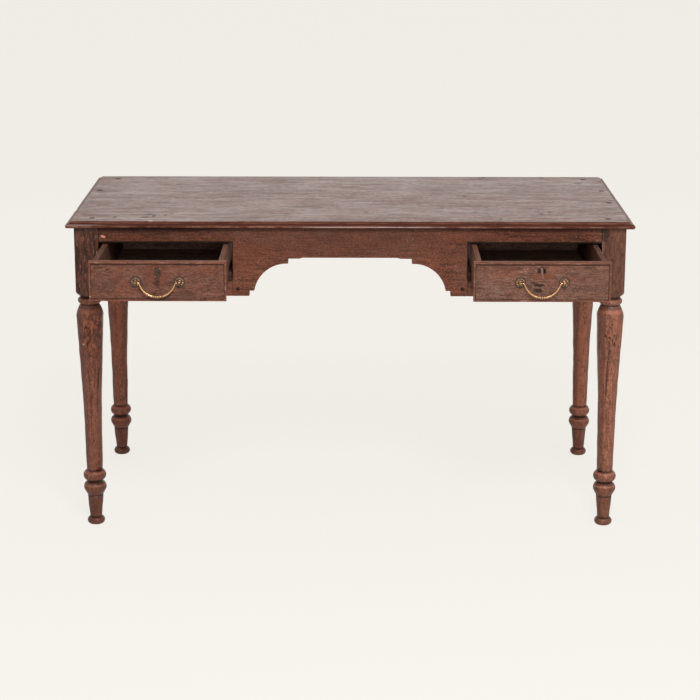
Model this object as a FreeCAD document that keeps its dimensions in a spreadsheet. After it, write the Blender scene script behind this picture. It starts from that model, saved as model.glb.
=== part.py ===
import FreeCAD, Part
import math
import os
import Sketcher

# A writing desk with a moulded plank top, turned and faceted legs, an arched apron and two drawers.
# Millimetres, +X to the right, +Y to the back, +Z up, origin on the floor under the middle of the top.
# The drawers are modelled part open, with their bails hanging.

doc = FreeCAD.newDocument("campaign_desk")
sheet = doc.addObject("Spreadsheet::Sheet", "dims")

SIZES = {
    # Top
    "desk_height": 762,
    "top_length": 1346,
    "top_depth": 652,
    "top_thickness": 16,
    "side_overhang": 19,
    "front_overhang": 12,
    "front_board_width": 226,
    "rear_board_width": 268,
    "arris_inset": 12.5,
    "arris_fillet": 1.2,
    "ovolo_radius": 4.3,
    "nose_radius": 5.5,
    # Pegs
    "top_peg_width": 12,
    "top_peg_depth": 25,
    "corner_peg_inset": 11,
    "front_seam_to_peg": 36,
    "rear_seam_to_peg": 45,
    "joint_peg_radius": 5,
    "joint_peg_edge": 12,
    "peg_clearance": 0.1,
    # Case
    "case_height": 165,
    "post_width": 57,
    "rail_thickness": 20,
    "rail_setback": 1,
    "top_rail_height": 36,
    "bearer_height": 35,
    "tenon_thickness": 8,
    "tenon_length": 30,
    "tenon_shoulder": 5,
    # Arched apron
    "apron_width": 560,
    "apron_end_half": 240,
    "apron_ledge": 12,
    "apron_ledge_rise": 13,
    "arch_radius": 78,
    "arch_half": 150,
    "arch_rise": 79,
    "crown_step_inset": 3,
    "crown_step": 12,
    "crown_half": 121,
    "crown_slope": 9,
    "crown_rise": 2.5,
    # Legs
    "foot_base_radius": 16.5,
    "foot_radius": 21.5,
    "foot_bulge": 8,
    "foot_height": 17.5,
    "foot_neck_radius": 15.5,
    "foot_curve": 10,
    "core_radius": 12,
    "ankle_foot_half": 14.3,
    "ankle_top_half": 18.8,
    "ankle_top": 74,
    "low_ring_foot_radius": 18.6,
    "low_ring_radius": 26.3,
    "low_ring_widest": 88,
    "low_ring_curve": 16,
    "ring_neck_radius": 18.4,
    "low_ring_top": 109,
    "high_ring_bottom": 111,
    "high_ring_top": 138,
    "high_ring_curve": 14.5,
    "shaft_bottom_half": 18.6,
    "shaft_low_rise": 112,
    "shaft_low_half": 20.6,
    "shaft_middle_half": 23.4,
    "shaft_high_drop": 65,
    "shaft_high_half": 28,
    "bulb_half": 30.6,
    "bulb_radius": 33.4,
    "bulb_curve": 66,
    "bulb_shoulder": 41,
    "bulb_top_half": 31.6,
    "bulb_top_radius": 22.5,
    "neck_radius": 22,
    "neck_gap": 1,
    "neck_ring_height": 16,
    "neck_ring_curve": 8.4,
    "neck_ring_gap": 1,
    "post_drop": 7,
    "pommel_radius": 20.5,
    "pommel_height": 6.7,
    # Drawer runners, guides, kickers and stops
    "runner_height": 20,
    "runner_width": 35,
    "inner_runner_overlap": 18,
    "housing_depth": 6,
    "guide_height": 20,
    "guide_gap": 0.6,
    "kicker_width": 28,
    "kicker_height": 30,
    "stop_length": 25,
    "stop_height": 24,
    "stop_gap": 0.3,
    # Drawers
    "drawer_pull": 205,
    "drawer_gap": 2,
    "drawer_lift": 0.3,
    "drawer_head_gap": 2.4,
    "drawer_back_room": 46,
    "front_thickness": 20,
    "lip_thickness": 9,
    "bead_thickness": 4,
    "bead_proud": 2.5,
    "side_setback": 7,
    "side_thickness": 12,
    "side_drop": 1.5,
    "pin_half": 4.55,
    "tail_flare": 2,
    "back_thickness": 12,
    "back_inset": 15,
    "back_drop": 8,
    "back_housing": 4,
    "bottom_thickness": 6,
    "bottom_rise": 4,
    "bottom_groove": 5,
    "nail_radius": 1.2,
    "nail_length": 30,
    "nail_edge": 47.5,
    "nail_low_rise": 30,
    "nail_high_drop": 18.3,
    "nail_clearance": 0.1,
    # Keyhole plugs
    "plug_radius": 6.5,
    "plug_depth": 12,
    "plug_drop": 19.2,
    # Handles
    "handle_span": 100,
    "handle_drop": 0.85,
    "rosette_radius": 13,
    "rosette_rim": 1.4,
    "rosette_boss_radius": 10.8,
    "rosette_boss_tip": 6,
    "rosette_boss_height": 2.2,
    "post_shank_radius": 2.5,
    "post_head_radius": 5,
    "post_reach": 10,
    "post_tail": 2,
    "post_clearance": 0.15,
    "nut_width": 11,
    "nut_thickness": 5,
    "bail_wire_radius": 1.8,
    "pivot_clearance": 0.05,
    "bail_bow": 42.5,
    "bail_bend": 4,
    "bail_pin_tip": 53,
    "collar_radius": 3.3,
    "collar_core_radius": 2.6,
    "collar_ring": 2.8,
    "collar_groove": 1.2,
}
COLLAR_RINGS = 5
BAIL_LEAN = 17
TAILS = 3
HALF_FACET_TURN = 22.5

for row, (alias, value) in enumerate(SIZES.items(), start=1):
    sheet.set(f"A{row}", alias)
    sheet.set(f"B{row}", str(value))
    sheet.setAlias(f"B{row}", alias)
doc.recompute()

# Places worked out from the driving sizes
case_top = "(dims.desk_height - dims.top_thickness)"
case_bottom = f"({case_top} - dims.case_height)"
case_x = "(dims.top_length / 2 - dims.side_overhang)"
case_y = "(dims.top_depth / 2 - dims.front_overhang)"
post_inner_x = f"({case_x} - dims.post_width)"
post_inner_y = f"({case_y} - dims.post_width)"
leg_x = f"({case_x} - dims.post_width / 2)"
leg_y = f"({case_y} - dims.post_width / 2)"
rail_face_x = f"({case_x} - dims.rail_setback)"
rail_back_x = f"({rail_face_x} - dims.rail_thickness)"
rail_face_y = f"({case_y} - dims.rail_setback)"
rail_back_y = f"({rail_face_y} - dims.rail_thickness)"
post_bottom = f"({case_bottom} - dims.post_drop)"
neck_ring_top = f"({post_bottom} - dims.neck_ring_gap)"
neck_ring_bottom = f"({neck_ring_top} - dims.neck_ring_height)"
bulb_top = f"({neck_ring_bottom} - dims.neck_gap)"
bulb_widest = f"({bulb_top} - dims.bulb_shoulder)"
shaft_high = f"({bulb_widest} - dims.shaft_high_drop)"
shaft_low = "(dims.high_ring_top + dims.shaft_low_rise)"
shaft_middle = f"(({shaft_low} + {shaft_high}) / 2)"
tenon_inset = "((dims.rail_thickness - dims.tenon_thickness) / 2)"
opening_top = f"({case_top} - dims.top_rail_height)"
opening_bottom = f"({case_bottom} + dims.bearer_height)"
opening_inner = "(dims.apron_width / 2)"
housing_y = f"({rail_back_y} + dims.housing_depth)"

front_face = f"(-{rail_face_y} - dims.drawer_pull)"
lip_back = f"({front_face} + dims.lip_thickness)"
front_back = f"({front_face} + dims.front_thickness)"
drawer_length = f"({rail_face_y} + {rail_back_y} - dims.drawer_back_room)"
drawer_end = f"({front_face} + {drawer_length})"
drawer_low = f"({opening_bottom} + dims.drawer_lift)"
drawer_high = f"({opening_top} - dims.drawer_head_gap)"
front_inner = f"({opening_inner} + dims.drawer_gap)"
front_outer = f"({post_inner_x} - dims.drawer_gap)"
side_inner = f"({front_inner} + dims.side_setback)"
side_outer = f"({front_outer} - dims.side_setback)"
bottom_low = f"({drawer_low} + dims.bottom_rise)"
bottom_high = f"({bottom_low} + dims.bottom_thickness)"
back_high = f"({drawer_high} - dims.back_drop)"
back_rear = f"({drawer_end} - dims.back_inset)"
back_face = f"({back_rear} - dims.back_thickness)"
drawer_middle = f"(({front_inner} + {front_outer}) / 2)"

nodes = {}


def node(label, solid):
    """Give a finished sub-part its label and keep it for checking and writing."""
    solid.Label = label
    nodes[label] = solid
    return solid


def number(expression):
    return float(sheet.evalExpression(expression))


def place(item, x, y, z):
    for axis, expression in zip("xyz", (x, y, z)):
        item.setExpression(f"Placement.Base.{axis}", expression)
    return item


def box(name, x, y, z):
    """A block between pairs of low and high places along each axis."""
    block = doc.addObject("Part::Box", name)
    for size, (low, high) in zip(("Length", "Width", "Height"), (x, y, z)):
        block.setExpression(size, f"({high}) - ({low})")
    return place(block, x[0], y[0], z[0])


def rod(name, along, start, radius, length):
    """A cylinder from a start point along +X, +Y or +Z."""
    turns = {"x": ((0, 1, 0), 90), "y": ((1, 0, 0), -90), "z": ((0, 0, 1), 0)}
    axis, angle = turns[along]
    cylinder = doc.addObject("Part::Cylinder", name)
    cylinder.Placement = FreeCAD.Placement(
        FreeCAD.Vector(), FreeCAD.Rotation(FreeCAD.Vector(*axis), angle)
    )
    cylinder.setExpression("Radius", radius)
    cylinder.setExpression("Height", length)
    return place(cylinder, *start)


def fuse(name, *solids):
    joined = doc.addObject("Part::MultiFuse", name)
    joined.Shapes = list(solids)
    return joined


def group(name, *solids):
    gathered = doc.addObject("Part::Compound", name)
    gathered.Links = list(solids)
    return gathered


def cut(name, solid, *tools):
    removed = doc.addObject("Part::Cut", name)
    removed.Base = solid
    removed.Tool = tools[0] if len(tools) == 1 else fuse(f"{name}_waste", *tools)
    return removed


def common(name, first, second):
    shared = doc.addObject("Part::Common", name)
    shared.Base = first
    shared.Tool = second
    return shared


def mirrored(side, x):
    """A place measured outwards from the middle, on the named side."""
    return x if side == "right" else f"-({x})"


def sided(side, low, high):
    """A pair of places measured outwards from the middle, on the named side."""
    if side == "right":
        return (low, high)
    return (mirrored(side, high), mirrored(side, low))


def plane_sketch(body, role, name):
    sketch = body.newObject("Sketcher::SketchObject", name)
    plane = next(item for item in body.Origin.OriginFeatures if item.Role == role)
    sketch.AttachmentSupport = [(plane, "")]
    sketch.MapMode = "FlatFace"
    return sketch


def arc_between(start, end, radius, turn):
    """The shorter arc from start to end, turning left or right along the way."""
    chord = end - start
    left = FreeCAD.Vector(-chord.y, chord.x, 0).normalize()
    if turn == "right":
        left = left.negative()
    reach = math.sqrt(max(radius**2 - (chord.Length / 2) ** 2, 0))
    centre = (start + end) * 0.5 + left * reach
    first, last = (start, end) if turn == "left" else (end, start)
    angles = [math.atan2(point.y - centre.y, point.x - centre.x) for point in (first, last)]
    return Part.ArcOfCircle(Part.Circle(centre, FreeCAD.Vector(0, 0, 1), radius), *angles)


def outline(sketch, points):
    """Draw a closed outline whose corners are held at expressions.

    A point is (u, v), reached by a line, or (u, v, radius, turn), reached by an arc.
    """
    corners = [FreeCAD.Vector(number(point[0]), number(point[1]), 0) for point in points]
    ends = []
    for index, point in enumerate(points):
        start, end = corners[index - 1], corners[index]
        if len(point) == 2:
            edge = sketch.addGeometry(Part.LineSegment(start, end))
            ends.append((edge, 1, 2))
            continue
        edge = sketch.addGeometry(arc_between(start, end, number(point[2]), point[3]))
        ends.append((edge, 1, 2) if point[3] == "left" else (edge, 2, 1))
        held = sketch.addConstraint(Sketcher.Constraint("Radius", edge, number(point[2])))
        sketch.setExpression(f"Constraints[{held}]", point[2])
    for index, (edge, _, finish) in enumerate(ends):
        following, begin, _ = ends[(index + 1) % len(ends)]
        sketch.addConstraint(Sketcher.Constraint("Coincident", edge, finish, following, begin))
        for kind, axis, expression in (
            ("DistanceX", -2, points[index][0]),
            ("DistanceY", -1, points[index][1]),
        ):
            if expression == "0":
                sketch.addConstraint(Sketcher.Constraint("PointOnObject", edge, finish, axis))
                continue
            held = sketch.addConstraint(
                Sketcher.Constraint(kind, -1, 1, edge, finish, number(expression))
            )
            sketch.setExpression(f"Constraints[{held}]", expression)


def slab(name, role, points, thickness):
    """A body padded from an outline, half its thickness to each side of its plane."""
    body = doc.addObject("PartDesign::Body", name)
    sketch = plane_sketch(body, role, f"{name}_outline")
    outline(sketch, points)
    pad = body.newObject("PartDesign::Pad", f"{name}_pad")
    pad.Profile = sketch
    pad.SideType = "Symmetric"
    pad.setExpression("Length", thickness)
    return body


def turning(name, x, y, points):
    """A body turned about a vertical axis from an outline of radius and height."""
    body = doc.addObject("PartDesign::Body", name)
    sketch = plane_sketch(body, "XZ_Plane", f"{name}_profile")
    outline(sketch, points)
    turned = body.newObject("PartDesign::Revolution", f"{name}_turned")
    turned.Profile = sketch
    turned.ReferenceAxis = (sketch, ["V_Axis"])
    turned.Angle = 360
    return place(body, x, y, "0")


def octagon_loft(name, x, y, sections):
    """A tapering octagonal length, its flats square to the desk, through (half width, height) pairs."""
    rings = []
    for index, (half, height) in enumerate(sections):
        ring = doc.addObject("Part::RegularPolygon", f"{name}_section_{index}")
        ring.Polygon = 8
        ring.Placement = FreeCAD.Placement(
            FreeCAD.Vector(), FreeCAD.Rotation(FreeCAD.Vector(0, 0, 1), HALF_FACET_TURN)
        )
        ring.setExpression("Circumradius", f"{half} / cos({HALF_FACET_TURN} deg)")
        rings.append(place(ring, x, y, height))
    loft = doc.addObject("Part::Loft", name)
    loft.Sections = rings
    loft.Solid = True
    return loft


# Plank top
def moulding(face, sign):
    """Edge moulding from the top arris down to the underside, as (place across, height) points."""

    def across(inset):
        return f"{sign}({face} - ({inset}))"

    def down(drop):
        return f"(dims.desk_height - ({drop}))"

    turn = "right" if sign == "" else "left"
    ovolo_inset = "dims.arris_inset - dims.ovolo_radius"
    ovolo_drop = "dims.arris_fillet + dims.ovolo_radius"
    nose_top = "dims.top_thickness - 2 * dims.nose_radius"
    nose_middle = "dims.top_thickness - dims.nose_radius"
    return [
        (across("dims.arris_inset"), "dims.desk_height"),
        (across("dims.arris_inset"), down("dims.arris_fillet")),
        (across(ovolo_inset), down(ovolo_drop), "dims.ovolo_radius", turn),
        (across("dims.nose_radius"), down(nose_top)),
        (across("0"), down(nose_middle), "dims.nose_radius", turn),
        (across("dims.nose_radius"), down("dims.top_thickness"), "dims.nose_radius", turn),
    ]


def end_waste(sign):
    """The outline outside the moulding at one end of the top."""
    beyond = f"{sign}(dims.top_length / 2 + dims.top_thickness)"
    above = "(dims.desk_height + dims.top_thickness)"
    below = f"({case_top} - dims.top_thickness)"
    profile = moulding("dims.top_length / 2", sign)
    return (
        [(beyond, above), (profile[0][0], above)]
        + profile
        + [(profile[-1][0], below), (beyond, below)]
    )


def top_board(label, points):
    board = slab(label, "YZ_Plane", points, "dims.top_length")
    ends = plane_sketch(board, "XZ_Plane", f"{label}_ends")
    outline(ends, end_waste(""))
    outline(ends, end_waste("-"))
    trimmed = board.newObject("PartDesign::Pocket", f"{label}_end_moulding")
    trimmed.Profile = ends
    trimmed.SideType = "Symmetric"
    trimmed.setExpression("Length", "2 * dims.top_depth")
    return board


front_seam = "(dims.front_board_width - dims.top_depth / 2)"
rear_seam = "(dims.top_depth / 2 - dims.rear_board_width)"
seam_edge = {
    "front": [(front_seam, case_top), (front_seam, "dims.desk_height")],
    "rear": [(rear_seam, case_top), (rear_seam, "dims.desk_height")],
}
board_outlines = {
    "top_front_board": moulding("dims.top_depth / 2", "-") + seam_edge["front"],
    "top_middle_board": seam_edge["front"] + seam_edge["rear"][::-1],
    "top_rear_board": moulding("dims.top_depth / 2", "") + seam_edge["rear"],
}
boards = {label: top_board(f"{label}_blank", points) for label, points in board_outlines.items()}

peg_half = "(dims.top_peg_width / 2)"
corner_peg_x = f"({leg_x} - dims.corner_peg_inset)"
corner_peg_y = f"({leg_y} - dims.corner_peg_inset)"
peg_low = f"({case_top} - dims.top_peg_depth)"
side_rail_middle = f"(({rail_face_x} + {rail_back_x}) / 2)"
peg_centres = [
    (corner_peg_x, f"-{corner_peg_y}"),
    (corner_peg_x, corner_peg_y),
    (side_rail_middle, f"({front_seam} + dims.front_seam_to_peg)"),
    (side_rail_middle, f"({rear_seam} + dims.rear_seam_to_peg)"),
]
top_pegs = []
for side in ("left", "right"):
    for index, (x, y) in enumerate(peg_centres):
        peg_x = sided(side, f"{x} - {peg_half}", f"{x} + {peg_half}")
        peg_y = (f"{y} - {peg_half}", f"{y} + {peg_half}")
        top_pegs.append(box(f"{side}_top_peg_{index}", peg_x, peg_y, (peg_low, "dims.desk_height")))
node("top_pegs", group("top_peg_group", *top_pegs))
for label, blank in boards.items():
    node(label, cut(f"{label}_pegged", blank, *top_pegs))


# Rails of the case
def tenon(name, x, y, z):
    return box(name, x, y, (f"{z[0]} + dims.tenon_shoulder", f"{z[1]} - dims.tenon_shoulder"))


front_rail_y = (f"-{rail_face_y}", f"-{rail_back_y}")
back_rail_y = (rail_back_y, rail_face_y)
front_tenon_y = (f"-{rail_face_y} + {tenon_inset}", f"-{rail_back_y} - {tenon_inset}")
back_tenon_y = (f"{rail_back_y} + {tenon_inset}", f"{rail_face_y} - {tenon_inset}")
post_tenon = (post_inner_x, f"{post_inner_x} + dims.tenon_length")
apron_tenon = (f"{opening_inner} - dims.tenon_length", opening_inner)
case_z = (case_bottom, case_top)
bearer_z = (case_bottom, opening_bottom)
top_rail_z = (opening_top, case_top)

rail_tenons = {}
for side in ("left", "right"):
    rail_tenons[f"{side}_top_rail"] = tenon(
        f"{side}_top_rail_tenon", sided(side, *post_tenon), front_tenon_y, top_rail_z
    )
    rail_tenons[f"{side}_bearer"] = tenon(
        f"{side}_bearer_tenon", sided(side, *post_tenon), front_tenon_y, bearer_z
    )
    rail_tenons[f"{side}_bearer_inner"] = tenon(
        f"{side}_bearer_inner_tenon", sided(side, *apron_tenon), front_tenon_y, bearer_z
    )
    rail_tenons[f"{side}_back"] = tenon(
        f"{side}_back_tenon", sided(side, *post_tenon), back_tenon_y, case_z
    )
    side_tenon_x = sided(side, f"{rail_back_x} + {tenon_inset}", f"{rail_face_x} - {tenon_inset}")
    for end, side_tenon_y in (
        ("front", (f"-{post_inner_y} - dims.tenon_length", f"-{post_inner_y}")),
        ("rear", (post_inner_y, f"{post_inner_y} + dims.tenon_length")),
    ):
        rail_tenons[f"{side}_side_{end}"] = tenon(
            f"{side}_side_{end}_tenon", side_tenon_x, side_tenon_y, case_z
        )


# Runners carry the drawers, guides keep them straight and kickers stop them tipping
def drawer_carriage(side):
    """Fixed strips round one drawer, and the tools that house them in the rails."""
    run_y = (f"-{housing_y}", housing_y)
    runner_z = (f"{opening_bottom} - dims.runner_height", opening_bottom)
    kicker_z = (opening_top, f"{opening_top} + dims.kicker_height")
    guide_z = (opening_bottom, f"{opening_bottom} + dims.guide_height")
    stop_z = (opening_bottom, f"{opening_bottom} + dims.stop_height")
    closed_end = f"({drawer_length} - {rail_face_y} + dims.stop_gap)"
    stop_y = (closed_end, f"{closed_end} + dims.stop_length")
    inner_guide = f"({side_inner} - dims.guide_gap)"
    outer_guide = f"({side_outer} + dims.guide_gap)"
    runner_inner = (
        f"{opening_inner} - dims.inner_runner_overlap",
        f"{opening_inner} + dims.runner_width",
    )
    runner_outer = (f"{post_inner_x} - dims.runner_width", post_inner_x)
    kicker_inner = (side_inner, f"{side_inner} + dims.kicker_width")
    kicker_outer = (f"{side_outer} - dims.kicker_width", side_outer)
    strips = {
        "inner_runner": (runner_inner, run_y, runner_z),
        "outer_runner": (runner_outer, run_y, runner_z),
        "inner_kicker": (kicker_inner, run_y, kicker_z),
        "outer_kicker": (kicker_outer, run_y, kicker_z),
        "inner_guide": (
            (runner_inner[0], inner_guide),
            (f"-{rail_back_y}", rail_back_y),
            guide_z,
        ),
        "outer_guide": (
            (outer_guide, rail_back_x),
            (f"-{post_inner_y}", post_inner_y),
            guide_z,
        ),
    }
    made = {}
    for strip, (x, y, z) in strips.items():
        label = f"{side}_{strip}"
        made[strip] = node(label, box(label, sided(side, *x), y, z))
    stops = [
        box(f"{side}_inner_stop", sided(side, inner_guide, runner_inner[1]), stop_y, stop_z),
        box(f"{side}_outer_stop", sided(side, runner_outer[0], outer_guide), stop_y, stop_z),
    ]
    node(f"{side}_drawer_stops", group(f"{side}_stop_group", *stops))
    return made


carriages = {side: drawer_carriage(side) for side in ("left", "right")}


# Front board: the rail over the drawers and the arched apron between them
def apron_height(rise):
    return f"({case_bottom} + {rise})"


crown = "dims.arch_rise + dims.crown_step"
crown_edge = "(dims.arch_half - dims.crown_step_inset)"
arch_foot = [
    (post_inner_x, opening_top),
    (opening_inner, opening_top),
    (opening_inner, case_bottom),
    ("dims.apron_end_half", case_bottom),
    ("dims.apron_end_half", apron_height("dims.apron_ledge_rise")),
    ("(dims.apron_end_half - dims.apron_ledge)", apron_height("dims.apron_ledge_rise")),
]
arch_crown = [
    ("dims.arch_half", apron_height("dims.arch_rise")),
    (crown_edge, apron_height("dims.arch_rise")),
    (crown_edge, apron_height(crown)),
    ("dims.crown_half", apron_height(crown)),
    ("(dims.crown_half - dims.crown_slope)", apron_height(f"{crown} + dims.crown_rise")),
]


def after_arc(points):
    """The same points, with the first reached by the arc of the arch."""
    return [points[0] + ("dims.arch_radius", "right")] + points[1:]


def on_left(points):
    return [(mirrored("left", x), z) for x, z in points]


front_points = (
    on_left(arch_foot)
    + after_arc(on_left(arch_crown))
    + arch_crown[::-1]
    + after_arc(arch_foot[::-1])
    + [(post_inner_x, case_top), (f"-{post_inner_x}", case_top)]
)
front_blank = slab("front_apron_blank", "XZ_Plane", front_points, "dims.rail_thickness")
place(front_blank, "0", f"-({rail_face_y} + {rail_back_y}) / 2", "0")

joint_pegs = []
peg_holes = []
joint_peg_length = "(dims.rail_thickness - dims.housing_depth)"
for side in ("left", "right"):
    peg_x = mirrored(side, f"{opening_inner} - dims.joint_peg_edge")
    peg_start = (peg_x, f"-{rail_face_y}", f"({case_bottom} + {opening_bottom}) / 2")
    joint_pegs.append(
        rod(f"{side}_joint_peg", "y", peg_start, "dims.joint_peg_radius", joint_peg_length)
    )
    peg_holes.append(
        rod(
            f"{side}_joint_peg_hole",
            "y",
            peg_start,
            "dims.joint_peg_radius + dims.peg_clearance",
            joint_peg_length,
        )
    )
node("joint_pegs", group("joint_peg_group", *joint_pegs))

housed = [
    carriages[side][strip]
    for side in ("left", "right")
    for strip in ("inner_runner", "outer_runner", "inner_kicker", "outer_kicker")
]
front_tenoned = fuse(
    "front_apron_tenoned",
    front_blank,
    rail_tenons["left_top_rail"],
    rail_tenons["right_top_rail"],
)
front_joints = [rail_tenons["left_bearer_inner"], rail_tenons["right_bearer_inner"]]
node("front_apron", cut("front_apron_cut", front_tenoned, *front_joints, *peg_holes, *housed))

back_board = box(
    "back_apron_board", (f"-{post_inner_x}", post_inner_x), back_rail_y, case_z
)
back_tenoned = fuse(
    "back_apron_tenoned", back_board, rail_tenons["left_back"], rail_tenons["right_back"]
)
node("back_apron", cut("back_apron_cut", back_tenoned, *housed))

for side, hole in zip(("left", "right"), peg_holes):
    rail = box(
        f"{side}_bearer_board", sided(side, opening_inner, post_inner_x), front_rail_y, bearer_z
    )
    tenoned = fuse(
        f"{side}_bearer_tenoned",
        rail,
        rail_tenons[f"{side}_bearer"],
        rail_tenons[f"{side}_bearer_inner"],
    )
    runners = [carriages[side]["inner_runner"], carriages[side]["outer_runner"]]
    node(f"{side}_bearer_rail", cut(f"{side}_bearer_cut", tenoned, hole, *runners))

    side_board = box(
        f"{side}_side_board",
        sided(side, rail_back_x, rail_face_x),
        (f"-{post_inner_y}", post_inner_y),
        case_z,
    )
    side_tenoned = fuse(
        f"{side}_side_tenoned",
        side_board,
        rail_tenons[f"{side}_side_front"],
        rail_tenons[f"{side}_side_rear"],
    )
    node(f"{side}_side_apron", cut(f"{side}_side_pegged", side_tenoned, *top_pegs))


# Legs, each turned and faceted from one post
def leg(label, side, end):
    x = mirrored(side, leg_x)
    y = leg_y if end == "rear" else f"-{leg_y}"
    turned = turning(
        f"{label}_turning",
        x,
        y,
        [
            ("0", "0"),
            ("dims.foot_base_radius", "0"),
            ("dims.foot_radius", "dims.foot_bulge", "dims.foot_curve", "left"),
            ("dims.foot_neck_radius", "dims.foot_height", "dims.foot_curve", "left"),
            ("dims.core_radius", "dims.foot_height"),
            ("dims.core_radius", "dims.ankle_top"),
            ("dims.low_ring_foot_radius", "dims.ankle_top"),
            ("dims.low_ring_radius", "dims.low_ring_widest"),
            ("dims.ring_neck_radius", "dims.low_ring_top", "dims.low_ring_curve", "left"),
            ("dims.ring_neck_radius", "dims.high_ring_bottom"),
            ("dims.ring_neck_radius", "dims.high_ring_top", "dims.high_ring_curve", "left"),
            ("dims.core_radius", "dims.high_ring_top"),
            ("dims.core_radius", bulb_widest),
            ("dims.neck_radius", bulb_widest),
            ("dims.neck_radius", neck_ring_bottom),
            ("dims.neck_radius", neck_ring_top, "dims.neck_ring_curve", "left"),
            ("dims.neck_radius", post_bottom),
            ("dims.core_radius", post_bottom),
            ("dims.core_radius", opening_bottom),
            ("0", opening_bottom),
        ],
    )
    bulb = turning(
        f"{label}_bulb",
        x,
        y,
        [
            ("0", "dims.high_ring_top"),
            ("dims.bulb_radius", "dims.high_ring_top"),
            ("dims.bulb_radius", bulb_widest),
            ("dims.bulb_top_radius", bulb_top, "dims.bulb_curve", "left"),
            ("0", bulb_top),
        ],
    )
    facets = octagon_loft(
        f"{label}_facets",
        x,
        y,
        [
            ("dims.shaft_bottom_half", "dims.high_ring_top"),
            ("dims.shaft_low_half", shaft_low),
            ("dims.shaft_middle_half", shaft_middle),
            ("dims.shaft_high_half", shaft_high),
            ("dims.bulb_half", bulb_widest),
            ("dims.bulb_top_half", bulb_top),
        ],
    )
    ankle = octagon_loft(
        f"{label}_ankle",
        x,
        y,
        [("dims.ankle_foot_half", "dims.foot_height"), ("dims.ankle_top_half", "dims.ankle_top")],
    )
    post = box(
        f"{label}_post",
        sided(side, post_inner_x, case_x),
        (post_inner_y, case_y) if end == "rear" else (f"-{case_y}", f"-{post_inner_y}"),
        (post_bottom, case_top),
    )
    pommel = doc.addObject("Part::Cone", f"{label}_pommel")
    pommel_slope = "((dims.post_width / 2 - dims.pommel_radius) / dims.pommel_height)"
    pommel.setExpression("Radius1", "dims.pommel_radius")
    post_length = f"({case_top} - {post_bottom})"
    pommel.setExpression("Radius2", f"dims.pommel_radius + {post_length} * {pommel_slope}")
    pommel.setExpression("Height", post_length)
    place(pommel, x, y, post_bottom)
    blank = fuse(
        f"{label}_blank",
        turned,
        common(f"{label}_shaft", facets, bulb),
        ankle,
        common(f"{label}_block", post, pommel),
    )
    rails = ("top_rail", "bearer", "side_front") if end == "front" else ("back", "side_rear")
    mortises = [rail_tenons[f"{side}_{rail}"] for rail in rails]
    pegs = [peg for peg in top_pegs if peg.Name.startswith(f"{side}_")]
    return node(label, cut(f"{label}_mortised", blank, *mortises, *pegs))


for end in ("front", "rear"):
    for side in ("left", "right"):
        leg(f"{end}_{side}_leg", side, end)


# Drawers
def drawer_side(name, x):
    """A drawer side with dovetails at its front end, from its outline along the drawer."""
    height = f"({drawer_high} - dims.bead_thickness - {drawer_low})"
    wide_half = f"({height} / {2 * TAILS} - dims.pin_half)"
    narrow_half = f"({wide_half} - dims.tail_flare)"
    points = [
        (drawer_end, drawer_low),
        (drawer_end, f"{drawer_high} - dims.side_drop"),
        (front_back, f"{drawer_high} - dims.side_drop"),
    ]
    for index in reversed(range(TAILS)):
        middle = f"({drawer_low} + {height} * {index + 0.5} / {TAILS})"
        points += [
            (front_back, f"{middle} + {narrow_half}"),
            (lip_back, f"{middle} + {wide_half}"),
            (lip_back, f"{middle} - {wide_half}"),
            (front_back, f"{middle} - {narrow_half}"),
        ]
    points.append((front_back, drawer_low))
    board = slab(name, "YZ_Plane", points, "dims.side_thickness")
    return place(board, f"({x[0]} + {x[1]}) / 2", "0", "0")


def bead_strips(side):
    """Cock beads round the drawer front: the top one covers the front's whole thickness."""
    bead_face = f"({front_face} - dims.bead_proud)"
    low_bead = f"({drawer_low} + dims.bead_thickness)"
    high_bead = f"({drawer_high} - dims.bead_thickness)"
    shallow = (bead_face, lip_back)
    strips = {
        "top": ((front_inner, front_outer), (bead_face, front_back), (high_bead, drawer_high)),
        "bottom": ((front_inner, front_outer), shallow, (drawer_low, low_bead)),
        "inner": (
            (front_inner, f"{front_inner} + dims.bead_thickness"),
            shallow,
            (low_bead, high_bead),
        ),
        "outer": (
            (f"{front_outer} - dims.bead_thickness", front_outer),
            shallow,
            (low_bead, high_bead),
        ),
    }
    return [
        box(f"{side}_{name}_bead", sided(side, *x), y, z) for name, (x, y, z) in strips.items()
    ]


def nail_set(side, centre):
    """Nails through the sides and the bottom into the drawer back, and the holes they fill."""
    nails = []
    holes = []
    back_middle = f"({back_face} + {back_rear}) / 2"
    heights = {
        "low": f"{drawer_low} + dims.nail_low_rise",
        "high": f"{back_high} - dims.nail_high_drop",
    }
    starts = []
    for label, x in (
        ("inner", sided(side, side_inner, f"{side_inner} + dims.nail_length")),
        ("outer", sided(side, f"{side_outer} - dims.nail_length", side_outer)),
    ):
        for level, height in heights.items():
            starts.append((f"{label}_{level}", "x", (x[0], back_middle, height)))
    spread = f"(({side_outer} - {side_inner}) / 2 - dims.side_thickness - dims.nail_edge)"
    for index in (-1, 0, 1):
        start = (f"{centre} + {index} * {spread}", back_middle, bottom_low)
        starts.append((f"bottom_{index + 1}", "z", start))
    for label, along, start in starts:
        name = f"{side}_{label}_nail"
        nails.append(rod(name, along, start, "dims.nail_radius", "dims.nail_length"))
        holes.append(
            rod(
                f"{name}_hole",
                along,
                start,
                "dims.nail_radius + dims.nail_clearance",
                "dims.nail_length",
            )
        )
    return nails, holes


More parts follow.
